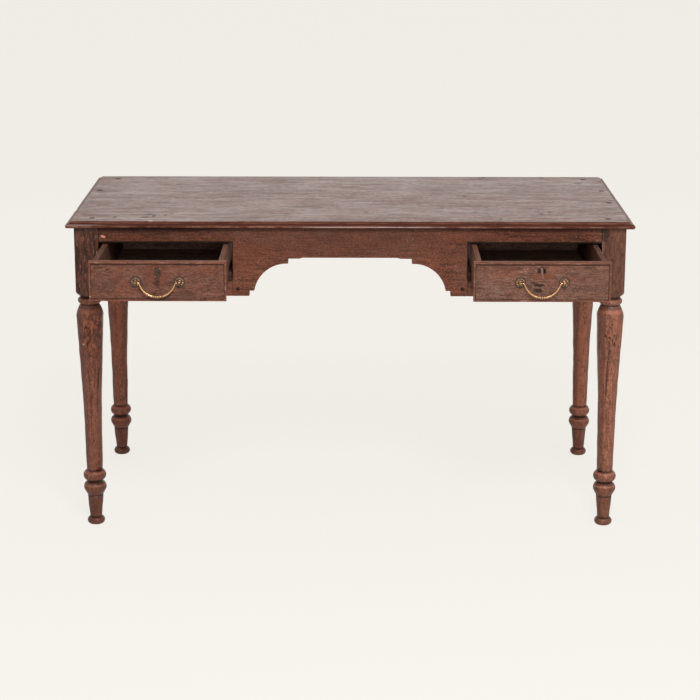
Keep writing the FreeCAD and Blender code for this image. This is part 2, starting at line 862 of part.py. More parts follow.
def handle(side, centre, height):
    """Rosettes, posts, nuts and the hanging bail of one drawer, and the bores for the posts."""
    pivot_y = f"({front_face} - dims.post_reach)"
    shank_length = (
        "(dims.post_reach + dims.front_thickness + dims.nut_thickness + dims.post_tail)"
    )
    rosettes, posts, nuts, bores = [], [], [], []
    for name, offset in (("left", "-dims.handle_span / 2"), ("right", "dims.handle_span / 2")):
        x = f"({centre} + {offset})"
        label = f"{side}_handle_{name}"
        bore = rod(
            f"{label}_bore",
            "y",
            (x, pivot_y, height),
            "dims.post_shank_radius + dims.post_clearance",
            shank_length,
        )
        bores.append(bore)
        rim_start = (x, f"{front_face} - dims.rosette_rim", height)
        rim = rod(f"{label}_rim", "y", rim_start, "dims.rosette_radius", "dims.rosette_rim")
        boss = doc.addObject("Part::Cone", f"{label}_boss")
        boss.Placement = FreeCAD.Placement(
            FreeCAD.Vector(), FreeCAD.Rotation(FreeCAD.Vector(1, 0, 0), 90)
        )
        boss.setExpression("Radius1", "dims.rosette_boss_radius")
        boss.setExpression("Radius2", "dims.rosette_boss_tip")
        boss.setExpression("Height", "dims.rosette_boss_height")
        place(boss, *rim_start)
        disc = fuse(f"{label}_disc", rim, boss)
        rosettes.append(cut(f"{label}_rosette", disc, bore))

        shank = rod(
            f"{label}_shank", "y", (x, pivot_y, height), "dims.post_shank_radius", shank_length
        )
        head = doc.addObject("Part::Sphere", f"{label}_head")
        head.setExpression("Radius", "dims.post_head_radius")
        place(head, x, pivot_y, height)
        eye = rod(
            f"{label}_eye",
            "x",
            (f"{x} - dims.post_head_radius", pivot_y, height),
            "dims.bail_wire_radius + dims.pivot_clearance",
            "2 * dims.post_head_radius",
        )
        posts.append(cut(f"{label}_post", fuse(f"{label}_bolt", shank, head), eye))

        nut_x = (f"{x} - dims.nut_width / 2", f"{x} + dims.nut_width / 2")
        nut_y = (front_back, f"{front_back} + dims.nut_thickness")
        nut_z = (f"{height} - dims.nut_width / 2", f"{height} + dims.nut_width / 2")
        nuts.append(cut(f"{label}_nut", box(f"{label}_nut_block", nut_x, nut_y, nut_z), bore))
    node(f"{side}_handle_rosettes", group(f"{side}_rosette_group", *rosettes))
    node(f"{side}_handle_posts", group(f"{side}_post_group", *posts))
    node(f"{side}_handle_nuts", group(f"{side}_nut_group", *nuts))
    bail(side, centre, pivot_y, height)
    return bores


def ring_arc(name, centre, radius, sweep, turn):
    """Part of an upright ring of bail wire: a sweep up from +X, then turned about +Y."""
    ring = doc.addObject("Part::Torus", name)
    upright = FreeCAD.Rotation(FreeCAD.Vector(1, 0, 0), 90)
    about_y = FreeCAD.Rotation(FreeCAD.Vector(0, 1, 0), turn)
    ring.Placement = FreeCAD.Placement(FreeCAD.Vector(), about_y.multiply(upright))
    ring.Angle3 = sweep
    ring.setExpression("Radius1", radius)
    ring.setExpression("Radius2", "dims.bail_wire_radius")
    return place(ring, *centre)


def bail(side, centre, pivot_y, height):
    """A cast bow whose ends bend out into two pins, with a ringed collar at its lowest part."""
    wire = "dims.bail_wire_radius"
    reach = "(dims.bail_bow + dims.bail_bend)"
    bend_half = f"({reach} * cos({BAIL_LEAN}))"
    bend_height = f"({height} - dims.bail_bend)"
    bow_centre = (centre, pivot_y, f"({bend_height} + {reach} * sin({BAIL_LEAN}))")
    low = f"({bow_centre[2]} - dims.bail_bow)"
    pin_length = f"(dims.bail_pin_tip - {bend_half})"
    bow_sweep = 180 - 2 * BAIL_LEAN
    pieces = [
        ring_arc(f"{side}_bail_bow", bow_centre, "dims.bail_bow", bow_sweep, 180 - BAIL_LEAN)
    ]
    for name, sign, pin_x, turn in (
        ("left", "-", f"{centre} - dims.bail_pin_tip", -BAIL_LEAN),
        ("right", "+", f"{centre} + {bend_half}", -90),
    ):
        label = f"{side}_bail_{name}"
        bend_centre = (f"{centre} {sign} {bend_half}", pivot_y, bend_height)
        bend_sweep = 90 - BAIL_LEAN
        pieces.append(rod(f"{label}_pin", "x", (pin_x, pivot_y, height), wire, pin_length))
        pieces.append(ring_arc(f"{label}_bend", bend_centre, "dims.bail_bend", bend_sweep, turn))
    pitch = "(dims.collar_ring + dims.collar_groove)"
    collar_length = f"({COLLAR_RINGS} * {pitch} - dims.collar_groove)"
    collar_start = f"({centre} - {collar_length} / 2)"
    core_start = (collar_start, pivot_y, low)
    core_radius = "dims.collar_core_radius"
    pieces.append(rod(f"{side}_collar_core", "x", core_start, core_radius, collar_length))
    for index in range(COLLAR_RINGS):
        ring_start = (f"{collar_start} + {index} * {pitch}", pivot_y, low)
        name = f"{side}_collar_ring_{index}"
        pieces.append(rod(name, "x", ring_start, "dims.collar_radius", "dims.collar_ring"))
    node(f"{side}_bail", fuse(f"{side}_bail_cast", *pieces))


def drawer(side):
    centre = mirrored(side, drawer_middle)
    inner_face = f"({side_inner} + dims.side_thickness)"
    outer_face = f"({side_outer} - dims.side_thickness)"
    inner_board = drawer_side(f"{side}_inner_board", sided(side, side_inner, inner_face))
    outer_board = drawer_side(f"{side}_outer_board", sided(side, outer_face, side_outer))
    floor = box(
        f"{side}_floor",
        sided(
            side,
            f"{inner_face} - dims.bottom_groove",
            f"{outer_face} + dims.bottom_groove",
        ),
        (f"{front_back} - dims.bottom_groove", drawer_end),
        (bottom_low, bottom_high),
    )
    back = box(
        f"{side}_back_board",
        sided(side, f"{inner_face} - dims.back_housing", f"{outer_face} + dims.back_housing"),
        (back_face, back_rear),
        (bottom_high, back_high),
    )
    nails, nail_holes = nail_set(side, centre)
    node(f"{side}_drawer_nails", group(f"{side}_nail_group", *nails))
    node(
        f"{side}_drawer_inner_side",
        cut(f"{side}_inner_grooved", inner_board, floor, back, *nail_holes),
    )
    node(
        f"{side}_drawer_outer_side",
        cut(f"{side}_outer_grooved", outer_board, floor, back, *nail_holes),
    )
    node(f"{side}_drawer_back", cut(f"{side}_back_nailed", back, *nail_holes))
    node(f"{side}_drawer_bottom", cut(f"{side}_floor_nailed", floor, *nail_holes))
    node(f"{side}_drawer_beads", group(f"{side}_bead_group", *bead_strips(side)))

    face = box(
        f"{side}_face",
        sided(
            side,
            f"{front_inner} + dims.bead_thickness",
            f"{front_outer} - dims.bead_thickness",
        ),
        (front_face, lip_back),
        (f"{drawer_low} + dims.bead_thickness", f"{drawer_high} - dims.bead_thickness"),
    )
    tongue = box(
        f"{side}_tongue",
        sided(side, side_inner, side_outer),
        (lip_back, front_back),
        (drawer_low, f"{drawer_high} - dims.bead_thickness"),
    )
    plug_start = (centre, front_face, f"{drawer_high} - dims.plug_drop")
    plug = rod(f"{side}_plug", "y", plug_start, "dims.plug_radius", "dims.plug_depth")
    node(f"{side}_keyhole_plug", plug)
    plug_hole = rod(
        f"{side}_plug_hole",
        "y",
        plug_start,
        "dims.plug_radius + dims.peg_clearance",
        "dims.plug_depth",
    )
    bores = handle(side, centre, f"(({drawer_low} + {drawer_high}) / 2 - dims.handle_drop)")
    front = fuse(f"{side}_front_blank", face, tongue)
    node(
        f"{side}_drawer_front",
        cut(f"{side}_front_jointed", front, inner_board, outer_board, floor, plug_hole, *bores),
    )


for side in ("left", "right"):
    drawer(side)

doc.recompute()

for item in doc.Objects:
    if "Invalid" in item.State or "Error" in item.State:
        raise RuntimeError(f"{item.Label} failed to compute: {item.State}")
for label, item in nodes.items():
    if item.Shape.isNull() or not item.Shape.isValid() or not item.Shape.Solids:
        raise RuntimeError(f"{label} has no valid solid")

os.makedirs("parts", exist_ok=True)
for label, item in nodes.items():
    item.Shape.exportStep(f"parts/{label}.step")
    box_mm = item.Shape.BoundBox
    print(
        f"{label}: {len(item.Shape.Solids)} solids, {item.Shape.Volume / 1000:.1f} cm3,",
        f"x {box_mm.XMin:.1f} to {box_mm.XMax:.1f}, y {box_mm.YMin:.1f} to {box_mm.YMax:.1f},",
        f"z {box_mm.ZMin:.1f} to {box_mm.ZMax:.1f}",
    )
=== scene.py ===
import bmesh
import bpy
import math
from mathutils import Matrix, Vector, noise


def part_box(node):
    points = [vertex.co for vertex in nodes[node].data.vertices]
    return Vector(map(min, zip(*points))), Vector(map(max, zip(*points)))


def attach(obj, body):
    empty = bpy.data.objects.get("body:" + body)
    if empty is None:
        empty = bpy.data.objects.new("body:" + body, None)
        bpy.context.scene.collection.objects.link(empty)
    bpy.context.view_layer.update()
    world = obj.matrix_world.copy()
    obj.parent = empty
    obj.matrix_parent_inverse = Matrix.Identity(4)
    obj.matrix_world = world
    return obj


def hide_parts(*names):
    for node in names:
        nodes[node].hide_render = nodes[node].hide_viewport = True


# An old writing desk: waxed plank top, turned legs, arched apron, two drawers with brass bails.
# Metres, +X to the right, +Y to the back, +Z up, origin on the floor under the middle of the top.

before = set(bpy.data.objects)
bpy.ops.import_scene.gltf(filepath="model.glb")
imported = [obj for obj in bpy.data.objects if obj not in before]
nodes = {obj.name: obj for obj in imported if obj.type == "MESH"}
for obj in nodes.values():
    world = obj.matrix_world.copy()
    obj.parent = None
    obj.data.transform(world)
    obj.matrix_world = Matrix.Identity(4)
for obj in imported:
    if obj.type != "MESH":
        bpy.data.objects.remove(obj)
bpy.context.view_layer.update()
SIDES = {"left": -1, "right": 1}

# Camera of the photograph, fitted to the corners of the desk
PHOTO_PIXELS = 700
FOCAL_PIXELS = 2020
SENSOR_WIDTH = 36
CAMERA_PLACE = (0.0065, -5.0086, 1.6750)
CAMERA_TILT = math.radians(14.64)
CAMERA_TURN = math.radians(0.076)
CAMERA_ROLL = math.radians(0.10)

# Directions of grain
ALONG_X = (1, 0, 0)
ALONG_Y = (0, 1, 0)
ALONG_Z = (0, 0, 1)

# Places on the desk
TOP_HIGH = 0.762
TOP_HALF_X = 0.673
TOP_HALF_Y = 0.326
MOULDING_X = 0.6605
MOULDING_Y = 0.3135
MITRE = TOP_HALF_X - TOP_HALF_Y
CASE_LOW = 0.581
BOARD_FACE = -0.313
OPENING_X = 0.280
OPENING_LOW = 0.616
OPENING_HIGH = 0.710
POST_LOW = 0.574
POST_FACE = -0.314
LEG_X = 0.6255
LEG_Y = 0.2855
DRAWER_X = 0.4385
DRAWER_FACE = -0.518
KEYHOLE_Z = 0.6884
BAIL_Y = -0.528
BAIL_Z = 0.6611
BAIL_HALF = 0.050

# Colors that recur, and spans of roughness with their specular level
# The first color below is near-black for real dirt, and also for painted shade in seams, grooves and under
# overhangs
DIRT_AND_SHADE = (0.014, 0.008, 0.006)
SCAR = (0.016, 0.008, 0.006)
CHIP = (0.42, 0.31, 0.26)
WORN_POLISH = ((0.5, 0.7), 0.14)
BARE_END = ((0.8, 0.95), 0.03)


class Finish:
    """A procedural material: each method adds a node and returns its output."""

    def __init__(self, name):
        self.material = bpy.data.materials.new(name)
        self.material.use_nodes = True
        self.tree = self.material.node_tree
        self.shader = self.tree.nodes["Principled BSDF"]
        self.place = self.add("ShaderNodeTexCoord").outputs["Object"]

    def add(self, kind, **settings):
        made = self.tree.nodes.new(kind)
        for key, value in settings.items():
            setattr(made, key, value)
        return made

    def feed(self, socket, value):
        if isinstance(value, bpy.types.NodeSocket):
            self.tree.links.new(value, socket)
        else:
            socket.default_value = value

    def moved(self, scale, shift=(0, 0, 0), source=None):
        node = self.add("ShaderNodeMapping")
        self.feed(node.inputs["Vector"], source or self.place)
        node.inputs["Location"].default_value = shift
        node.inputs["Scale"].default_value = scale
        return node.outputs["Vector"]

    def noise(self, vector, scale=1, detail=3, roughness=0.55, distortion=0):
        node = self.add("ShaderNodeTexNoise")
        self.feed(node.inputs["Vector"], vector)
        node.inputs["Scale"].default_value = scale
        node.inputs["Detail"].default_value = detail
        node.inputs["Roughness"].default_value = roughness
        node.inputs["Distortion"].default_value = distortion
        return node.outputs["Fac"]

    def cells(self, vector, scale):
        node = self.add("ShaderNodeTexVoronoi")
        self.feed(node.inputs["Vector"], vector)
        node.inputs["Scale"].default_value = scale
        return node.outputs["Distance"]

    def levels(self, factor, low, high, start=0.0, end=1.0):
        """Stretch the span from low to high of a factor over start to end, smoothly."""
        node = self.add("ShaderNodeMapRange", interpolation_type="SMOOTHSTEP")
        self.feed(node.inputs["Value"], factor)
        node.inputs["From Min"].default_value = low
        node.inputs["From Max"].default_value = high
        node.inputs["To Min"].default_value = start
        node.inputs["To Max"].default_value = end
        return node.outputs["Result"]

    def ramp(self, factor, *stops):
        node = self.add("ShaderNodeValToRGB")
        self.feed(node.inputs["Fac"], factor)
        elements = node.color_ramp.elements
        while len(elements) < len(stops):
            elements.new(1)
        for element, (position, color) in zip(elements, stops):
            element.position = position
            element.color = (*color, 1)
        return node.outputs["Color"]

    def blend(self, factor, first, second):
        node = self.add("ShaderNodeMix", data_type="RGBA")
        self.feed(node.inputs["Factor"], factor)
        for name, value in (("A", first), ("B", second)):
            socket = next(item for item in node.inputs if item.name == name and item.type == "RGBA")
            self.feed(socket, (*value, 1) if isinstance(value, tuple) else value)
        return next(item for item in node.outputs if item.type == "RGBA")

    def math(self, operation, first, second=0.0, third=0.0):
        node = self.add("ShaderNodeMath", operation=operation)
        for socket, value in zip(node.inputs, (first, second, third)):
            self.feed(socket, value)
        return node.outputs["Value"]

    def axis(self, name):
        node = self.add("ShaderNodeSeparateXYZ")
        self.feed(node.inputs[0], self.place)
        return node.outputs[name]

    def band(self, name, low, high, soft):
        """1 where a coordinate lies between low and high, fading over soft."""
        place = self.axis(name)
        above = self.levels(place, low - soft / 2, low + soft / 2)
        below = self.levels(place, high + soft / 2, high - soft / 2)
        return self.math("MULTIPLY", above, below)

    def line(self, name, place, soft, half=0.0016):
        """1 along a thin line where a coordinate is at a place."""
        return self.band(name, place - half, place + half, soft)

    def facing(self, name):
        """How far the surface faces along an axis, from -1 to 1."""
        node = self.add("ShaderNodeSeparateXYZ")
        self.feed(node.inputs[0], self.add("ShaderNodeTexCoord").outputs["Normal"])
        return node.outputs[name]

    def openness(self, distance, inside=False):
        """1 in the open and less in a corner, or near an outer edge when looking inside."""
        node = self.add("ShaderNodeAmbientOcclusion", inside=inside, only_local=True, samples=8)
        node.inputs["Distance"].default_value = distance
        return node.outputs["AO"]

    def spot(self, centre, size, turn=(0, 0, 0), ragged=0.5, soft=0.5, grit=160):
        """1 inside a ragged oval of half widths size, 0 outside it."""
        node = self.add("ShaderNodeMapping", vector_type="TEXTURE")
        self.feed(node.inputs["Vector"], self.place)
        node.inputs["Location"].default_value = centre
        node.inputs["Rotation"].default_value = turn
        node.inputs["Scale"].default_value = size
        length = self.add("ShaderNodeVectorMath", operation="LENGTH")
        self.feed(length.inputs[0], node.outputs["Vector"])
        edge = self.math("SUBTRACT", self.noise(self.place, grit, 3), 0.5)
        reach = self.math("MULTIPLY_ADD", edge, ragged * 4, length.outputs["Value"])
        return self.levels(reach, 1 + soft / 2, 1 - soft / 2)

    def bump(self, height, strength, distance):
        node = self.add("ShaderNodeBump")
        node.inputs["Strength"].default_value = strength
        node.inputs["Distance"].default_value = distance
        self.feed(node.inputs["Height"], height)
        return node.outputs["Normal"]

    def dress(self, **values):
        """Feed the shader's sockets, named with underscores for spaces."""
        for key, value in values.items():
            self.feed(self.shader.inputs[key.replace("_", " ")], value)
        return self.material


class OldWood(Finish):
    """Old polished wood, painted in layers over streaks and fibre that run with the grain."""

    def __init__(self, name, grain, seed, tone, contrast=0.5, broad=(110, 14), fine=(260, 45), wander=0.03):
        super().__init__(name)
        self.grain = grain
        self.shift = (seed * 1.37, seed * 0.71, seed * 2.13)
        drift = self.noise(self.along(9, 1.6), detail=2)
        bent = self.add("ShaderNodeVectorMath", operation="MULTIPLY_ADD")
        self.feed(bent.inputs[0], drift)
        bent.inputs[1].default_value = (wander, wander, wander)
        self.feed(bent.inputs[2], self.place)
        self.path = bent.outputs["Vector"]
        streaks = self.noise(self.along(*broad, self.path), detail=5, roughness=0.6)
        fibre = self.noise(self.along(*fine, self.path), detail=3, roughness=0.6)
        mixed = self.math("MULTIPLY_ADD", fibre, 0.55, self.math("MULTIPLY", streaks, 0.45))
        self.color = self.ramp(
            mixed, (0.37, shade(tone, 1 - contrast)), (0.5, tone), (0.63, shade(tone, 1 + contrast))
        )
        self.grit(tone, fine[0] * 2, fine[0])
        pores = self.noise(self.along(fine[0] * 1.7, fine[1] * 1.2, self.path), detail=2)
        grooves = self.levels(pores, 0.58, 0.68)
        self.cover(grooves, shade(tone, 0.3), 0.6)
        self.height = self.math("MULTIPLY_ADD", grooves, -0.3, mixed)

    def along(self, across, length, source=None):
        """Texture place with one pitch across the grain and another along it."""
        scale = tuple(length if part else across for part in self.grain)
        return self.moved(scale, self.shift, source)

    def cover(self, mask, color, amount=1.0):
        factor = mask if amount == 1 else self.math("MULTIPLY", mask, amount)
        self.color = self.blend(factor, self.color, color)

    def sink(self, mask, depth):
        self.height = self.math("MULTIPLY_ADD", mask, -depth, self.height)

    def cloud(self, color, across, length, low, high, amount):
        """Uneven patches of another color."""
        patch = self.noise(self.along(across, length), detail=5, roughness=0.62, distortion=0.5)
        self.cover(self.levels(patch, low, high), color, amount)

    def ticks(self, color, across, length, share, amount, depth=0.3):
        """Short dashes along the grain."""
        dash = self.noise(self.along(across, length, self.path), detail=2, roughness=0.5)
        dash = self.levels(dash, share, share + 0.08)
        self.cover(dash, color, amount)
        self.sink(dash, depth)

    def grit(self, tone, across, length):
        """Fine dark and pale grain."""
        speck = self.noise(self.along(across, length), detail=1)
        self.cover(self.levels(speck, 0.50, 0.68), shade(tone, 0.4), 0.55)
        self.cover(self.levels(speck, 0.50, 0.32), shade(tone, 1.8), 0.45)

    def rub(self, color, amount, reach=0.006):
        """Outer edges worn to another color, more on some stretches than on others."""
        edge = self.levels(self.openness(reach, inside=True), 0.8, 0.4)
        patch = self.levels(self.noise(self.along(60, 22), detail=4), 0.38, 0.58)
        self.cover(self.math("MULTIPLY", edge, patch), color, amount)

    def dirt_and_shade_in_corners(self, amount, reach=0.02):
        """Dirt and painted shade, darker in the corners by occlusion."""
        self.cover(self.levels(self.openness(reach), 0.8, 0.3), DIRT_AND_SHADE, amount)

    def flecks(self, color, spacing, radius, amount, share=0.5, length=2):
        """Small chips, gathered in patches and drawn out along the grain."""
        chip = self.cells(self.along(1, 1 / length), 1 / spacing)
        chip = self.levels(chip, radius / spacing, 0.5 * radius / spacing)
        patch = self.levels(self.noise(self.along(16, 9), detail=3), share, share + 0.12)
        chip = self.math("MULTIPLY", chip, patch)
        self.cover(chip, color, amount)
        self.sink(chip, 0.4)

    def mark(self, centre, size, color, amount=1.0, turn=(0, 0, 0), ragged=0.5, soft=0.5, depth=0.5):
        mask = self.spot(centre, size, turn, ragged, soft)
        self.cover(mask, color, amount)
        self.sink(mask, depth)

    def done(self, rough, specular, relief=0.5, dull=0.0):
        """Feed the shader: rough is the span of roughness, and a dull mask hides the polish."""
        smears = self.levels(self.noise(self.along(30, 9), detail=4), 0.3, 0.7, *rough)
        return self.dress(
            Base_Color=self.color,
            Roughness=self.math("MAXIMUM", smears, dull),
            Specular_IOR_Level=specular,
            Normal=self.bump(self.height, relief, 0.0015),
        )


def shade(color, factor):
    """A darker color turns warmer, a paler one keeps its hue."""
    if factor >= 1:
        return tuple(part * factor for part in color)
    red, green, blue = color
    return (red * factor, green * factor ** 1.15, blue * factor ** 1.25)


def top_finish():
    """Waxed top, dulled grey with handling; its moulded edge is red-brown and rubbed, with painted shade,
    highlights and sheen.
    """
    wood = OldWood("waxed_top", ALONG_X, 1, (0.186, 0.114, 0.098), 0.46, (30, 4), (90, 14), 0.05)
    wood.cloud((0.290, 0.220, 0.204), 10, 1.8, 0.44, 0.64, 0.55)
    wood.cloud((0.150, 0.066, 0.048), 18, 2.5, 0.50, 0.66, 0.5)
    wood.cloud((0.095, 0.050, 0.040), 40, 6, 0.54, 0.66, 0.5)
    wood.cloud((0.300, 0.230, 0.216), 60, 10, 0.56, 0.68, 0.5)
    wood.grit((0.180, 0.112, 0.096), 170, 60)
    ends = wood.levels(wood.math("ABSOLUTE", wood.axis("X")), 0.52, 0.66)
    smudge = wood.levels(wood.noise(wood.along(20, 22), detail=5), 0.48, 0.62)
    wood.cover(wood.math("MULTIPLY", ends, smudge), (0.085, 0.040, 0.030), 0.55)
    front = wood.levels(wood.axis("Y"), -0.15, -0.29)
    scuff = wood.levels(wood.noise(wood.along(46, 16), detail=5), 0.50, 0.62)
    wood.cover(wood.math("MULTIPLY", front, scuff), (0.110, 0.050, 0.038), 0.6)
    wood.flecks((0.045, 0.022, 0.016), 0.030, 0.0055, 0.85, 0.52, 0.6)
    wood.flecks((0.045, 0.022, 0.016), 0.044, 0.0060, 0.85, 0.48, 1.5)
    wood.flecks((0.050, 0.026, 0.020), 0.014, 0.0022, 0.8, 0.50, 1.2)
    for x, y, long, wide in TOP_DENTS:
        wood.mark((x, y, TOP_HIGH), (long, wide, 0.01), (0.026, 0.012, 0.008), 0.9, soft=0.7)
    wood.mark((-0.472, -0.307, TOP_HIGH), (0.006, 0.010, 0.01), (0.45, 0.38, 0.34), 0.7)
    edge = wood.levels(wood.axis("Z"), TOP_HIGH - 0.0003, TOP_HIGH - 0.0009)
    moulding_finish(wood, edge)
    return wood.done((0.37, 0.53), 0.24, 0.3, wood.math("MULTIPLY", edge, 0.9))


def moulding_finish(wood, edge):
    """Bands along the moulded edge of the top: painted shade in its hollows and under the nose, wear and
    painted highlights on the nose, and painted sheen on the ends.
    """
    red = wood.ramp(
        wood.noise(wood.along(90, 16), detail=5, roughness=0.65),
        (0.38, (0.055, 0.013, 0.006)), (0.50, (0.110, 0.033, 0.018)), (0.62, (0.160, 0.056, 0.033)),
    )
    wood.cover(edge, red)
    # Painted shade along the moulding's arris and quirk
    for low, high, soft, color, amount in MOULDING_SHADE_LINES:
        wood.cover(wood.band("Z", low, high, soft), color, amount)
    # Painted shade on the underside of the nose
    wood.cover(wood.levels(wood.axis("Z"), 0.7494, 0.7474), (0.030, 0.010, 0.006), 0.6)
    # A pale broken line along the nose: wear and painted highlight, brightest in the middle of the front
    patches = wood.levels(wood.noise(wood.along(70, 30), detail=6, roughness=0.7), 0.46, 0.58)
    nose_wear_and_highlight = wood.band("Z", 0.7499, 0.7520, 0.0012)
    wood.cover(wood.math("MULTIPLY", nose_wear_and_highlight, patches), (0.300, 0.190, 0.155), 0.6)
    rubbed = wood.math("MULTIPLY", wood.band("X", -0.10, 0.20, 0.12), nose_wear_and_highlight)
    wood.cover(rubbed, (0.44, 0.38, 0.37), 0.5)
    # Painted highlight on the nose at the left front corner
    corner = wood.levels(wood.axis("X"), -0.56, -0.64)
    corner = wood.math("MULTIPLY", corner, wood.band("Z", 0.7536, 0.7556, 0.0010))
    wood.cover(corner, (0.36, 0.28, 0.25), 0.5)
    # The moulding's ends are painted grey-brown as sheen, with a painted shade line under the arris
    across = wood.math("ABSOLUTE", wood.axis("X"))
    mitre = wood.math("SUBTRACT", across, wood.math("ABSOLUTE", wood.axis("Y")))
    past_end = wood.levels(across, MOULDING_X - 0.0003, MOULDING_X + 0.0004)
    end_strip = wood.math("MULTIPLY", past_end, wood.levels(mitre, MITRE - 0.0005, MITRE + 0.0020))
    wood.cover(wood.math("MULTIPLY", edge, end_strip), (0.270, 0.195, 0.175), 0.85)
    arris = wood.band("Z", 0.7605, 0.7617, 0.0005)
    wood.cover(wood.math("MULTIPLY", arris, end_strip), (0.060, 0.032, 0.025), 0.7)


# Painted shade lines along the moulding, under the arris and about the quirk: low, high, softness, color
# and amount
MOULDING_SHADE_LINES = (
    (0.7596, 0.7616, 0.0008, (0.040, 0.013, 0.008), 0.6),
    (0.7546, 0.7573, 0.0010, (0.040, 0.006, 0.002), 0.85),
    (0.7522, 0.7550, 0.0012, (0.050, 0.014, 0.007), 0.5),
)

# Dents in the top: x, y, half length and half width
TOP_DENTS = (
    (-0.491, -0.266, 0.011, 0.010), (-0.484, -0.226, 0.009, 0.009), (-0.470, -0.246, 0.004, 0.016),
    (-0.562, -0.264, 0.004, 0.016), (-0.429, -0.217, 0.005, 0.008), (-0.443, -0.235, 0.004, 0.008),
    (0.461, -0.214, 0.007, 0.010), (0.483, -0.190, 0.005, 0.009), (0.455, -0.184, 0.004, 0.008),
    (0.358, -0.278, 0.004, 0.009), (0.333, -0.129, 0.004, 0.010), (0.224, -0.139, 0.004, 0.008),
    (0.638, -0.064, 0.009, 0.010), (0.595, 0.210, 0.010, 0.012), (0.353, 0.298, 0.004, 0.012),
    (0.507, 0.299, 0.005, 0.012), (0.288, 0.024, 0.005, 0.010), (-0.640, 0.098, 0.007, 0.012),
)


def rail_finish(name, grain, seed):
    """Front board and rails: red-brown with darker streaks and orange rubbed places."""
    wood = OldWood(name, grain, seed, (0.118, 0.040, 0.023), 0.6)
    wood.cloud((0.165, 0.048, 0.024), 20, 6, 0.46, 0.66, 0.55)
    wood.cloud((0.048, 0.019, 0.012), 30, 8, 0.52, 0.68, 0.55)
    wood.cloud((0.150, 0.080, 0.058), 26, 8, 0.52, 0.70, 0.45)
    wood.ticks((0.040, 0.016, 0.010), 120, 12, 0.60, 0.6)
    wood.grit((0.112, 0.042, 0.026), 480, 220)
    wood.rub((0.230, 0.088, 0.050), 0.6)
    wood.dirt_and_shade_in_corners(0.85)
    wood.flecks(DIRT_AND_SHADE, 0.008, 0.0014, 0.8, 0.44, 1.5)
    wood.flecks(CHIP, 0.009, 0.0011, 0.7, 0.48, 1.3)
    return wood


# Faint patches on the front board: x, z, half width, half height, color and amount
FRONT_PATCHES = (
    (0, 0.720, 0.26, 0.05, (0.062, 0.024, 0.015), 0.45),
    (0.335, 0.640, 0.075, 0.07, (0.190, 0.088, 0.060), 0.4),
    (-0.300, 0.664, 0.060, 0.05, (0.165, 0.056, 0.030), 0.35),
)


def front_finish():
    """Front board: a chip by the left post, dirt and painted shade at the posts, and painted shade along
    the openings and under the top.
    """
    wood = rail_finish("front_board_wood", ALONG_X, 2)
    for x, z, wide, tall, color, amount in FRONT_PATCHES:
        wood.mark((x, BOARD_FACE, z), (wide, 0.05, tall), color, amount, ragged=0.2, soft=0.9, depth=0)
    # Dark bands by the posts: painted shade with dirt along the seams
    seam_dirt_and_shade = wood.math("MAXIMUM", wood.band("X", -0.62, -0.5955, 0.001), wood.band("X", 0.5955, 0.62, 0.001))
    wood.cover(seam_dirt_and_shade, DIRT_AND_SHADE, 0.9)
    wood.mark((-0.586, BOARD_FACE, 0.7265), (0.013, 0.02, 0.0055), (0.03, 0.012, 0.008), 0.6, (0, 0.3, 0))
    wood.mark(
        (-0.585, BOARD_FACE, 0.725), (0.0062, 0.02, 0.0030), (0.60, 0.23, 0.16), 1, (0, 0.25, 0), 0.15, 0.4
    )
    out = wood.math("ABSOLUTE", wood.axis("X"))
    # Painted shade along the lower edge of the rail over the openings
    over = wood.band("Z", OPENING_HIGH - 0.010, OPENING_HIGH + 0.004, 0.0022)
    wood.cover(wood.math("MULTIPLY", wood.levels(out, OPENING_X - 0.004, OPENING_X), over), DIRT_AND_SHADE, 0.9)
    # Painted shade along the inner edges of the openings, where the gaps are
    beside = wood.band("Z", OPENING_LOW + 0.006, OPENING_HIGH + 0.004, 0.004)
    jamb_shade = wood.math("MULTIPLY", wood.levels(out, OPENING_X - 0.0035, OPENING_X - 0.0010), beside)
    wood.cover(wood.math("MULTIPLY", jamb_shade, wood.levels(out, 0.3200, 0.3100)), DIRT_AND_SHADE, 0.9)
    # Painted shadow under the top's overhang, deeper on the left
    wood.cover(wood.levels(wood.axis("Z"), 0.7330, 0.7450), DIRT_AND_SHADE, 0.35)
    left = wood.levels(wood.axis("X"), -0.24, -0.40)
    wood.cover(wood.math("MULTIPLY", left, wood.levels(wood.axis("Z"), 0.722, 0.745)), DIRT_AND_SHADE, 0.6)
    return wood.done(*WORN_POLISH)


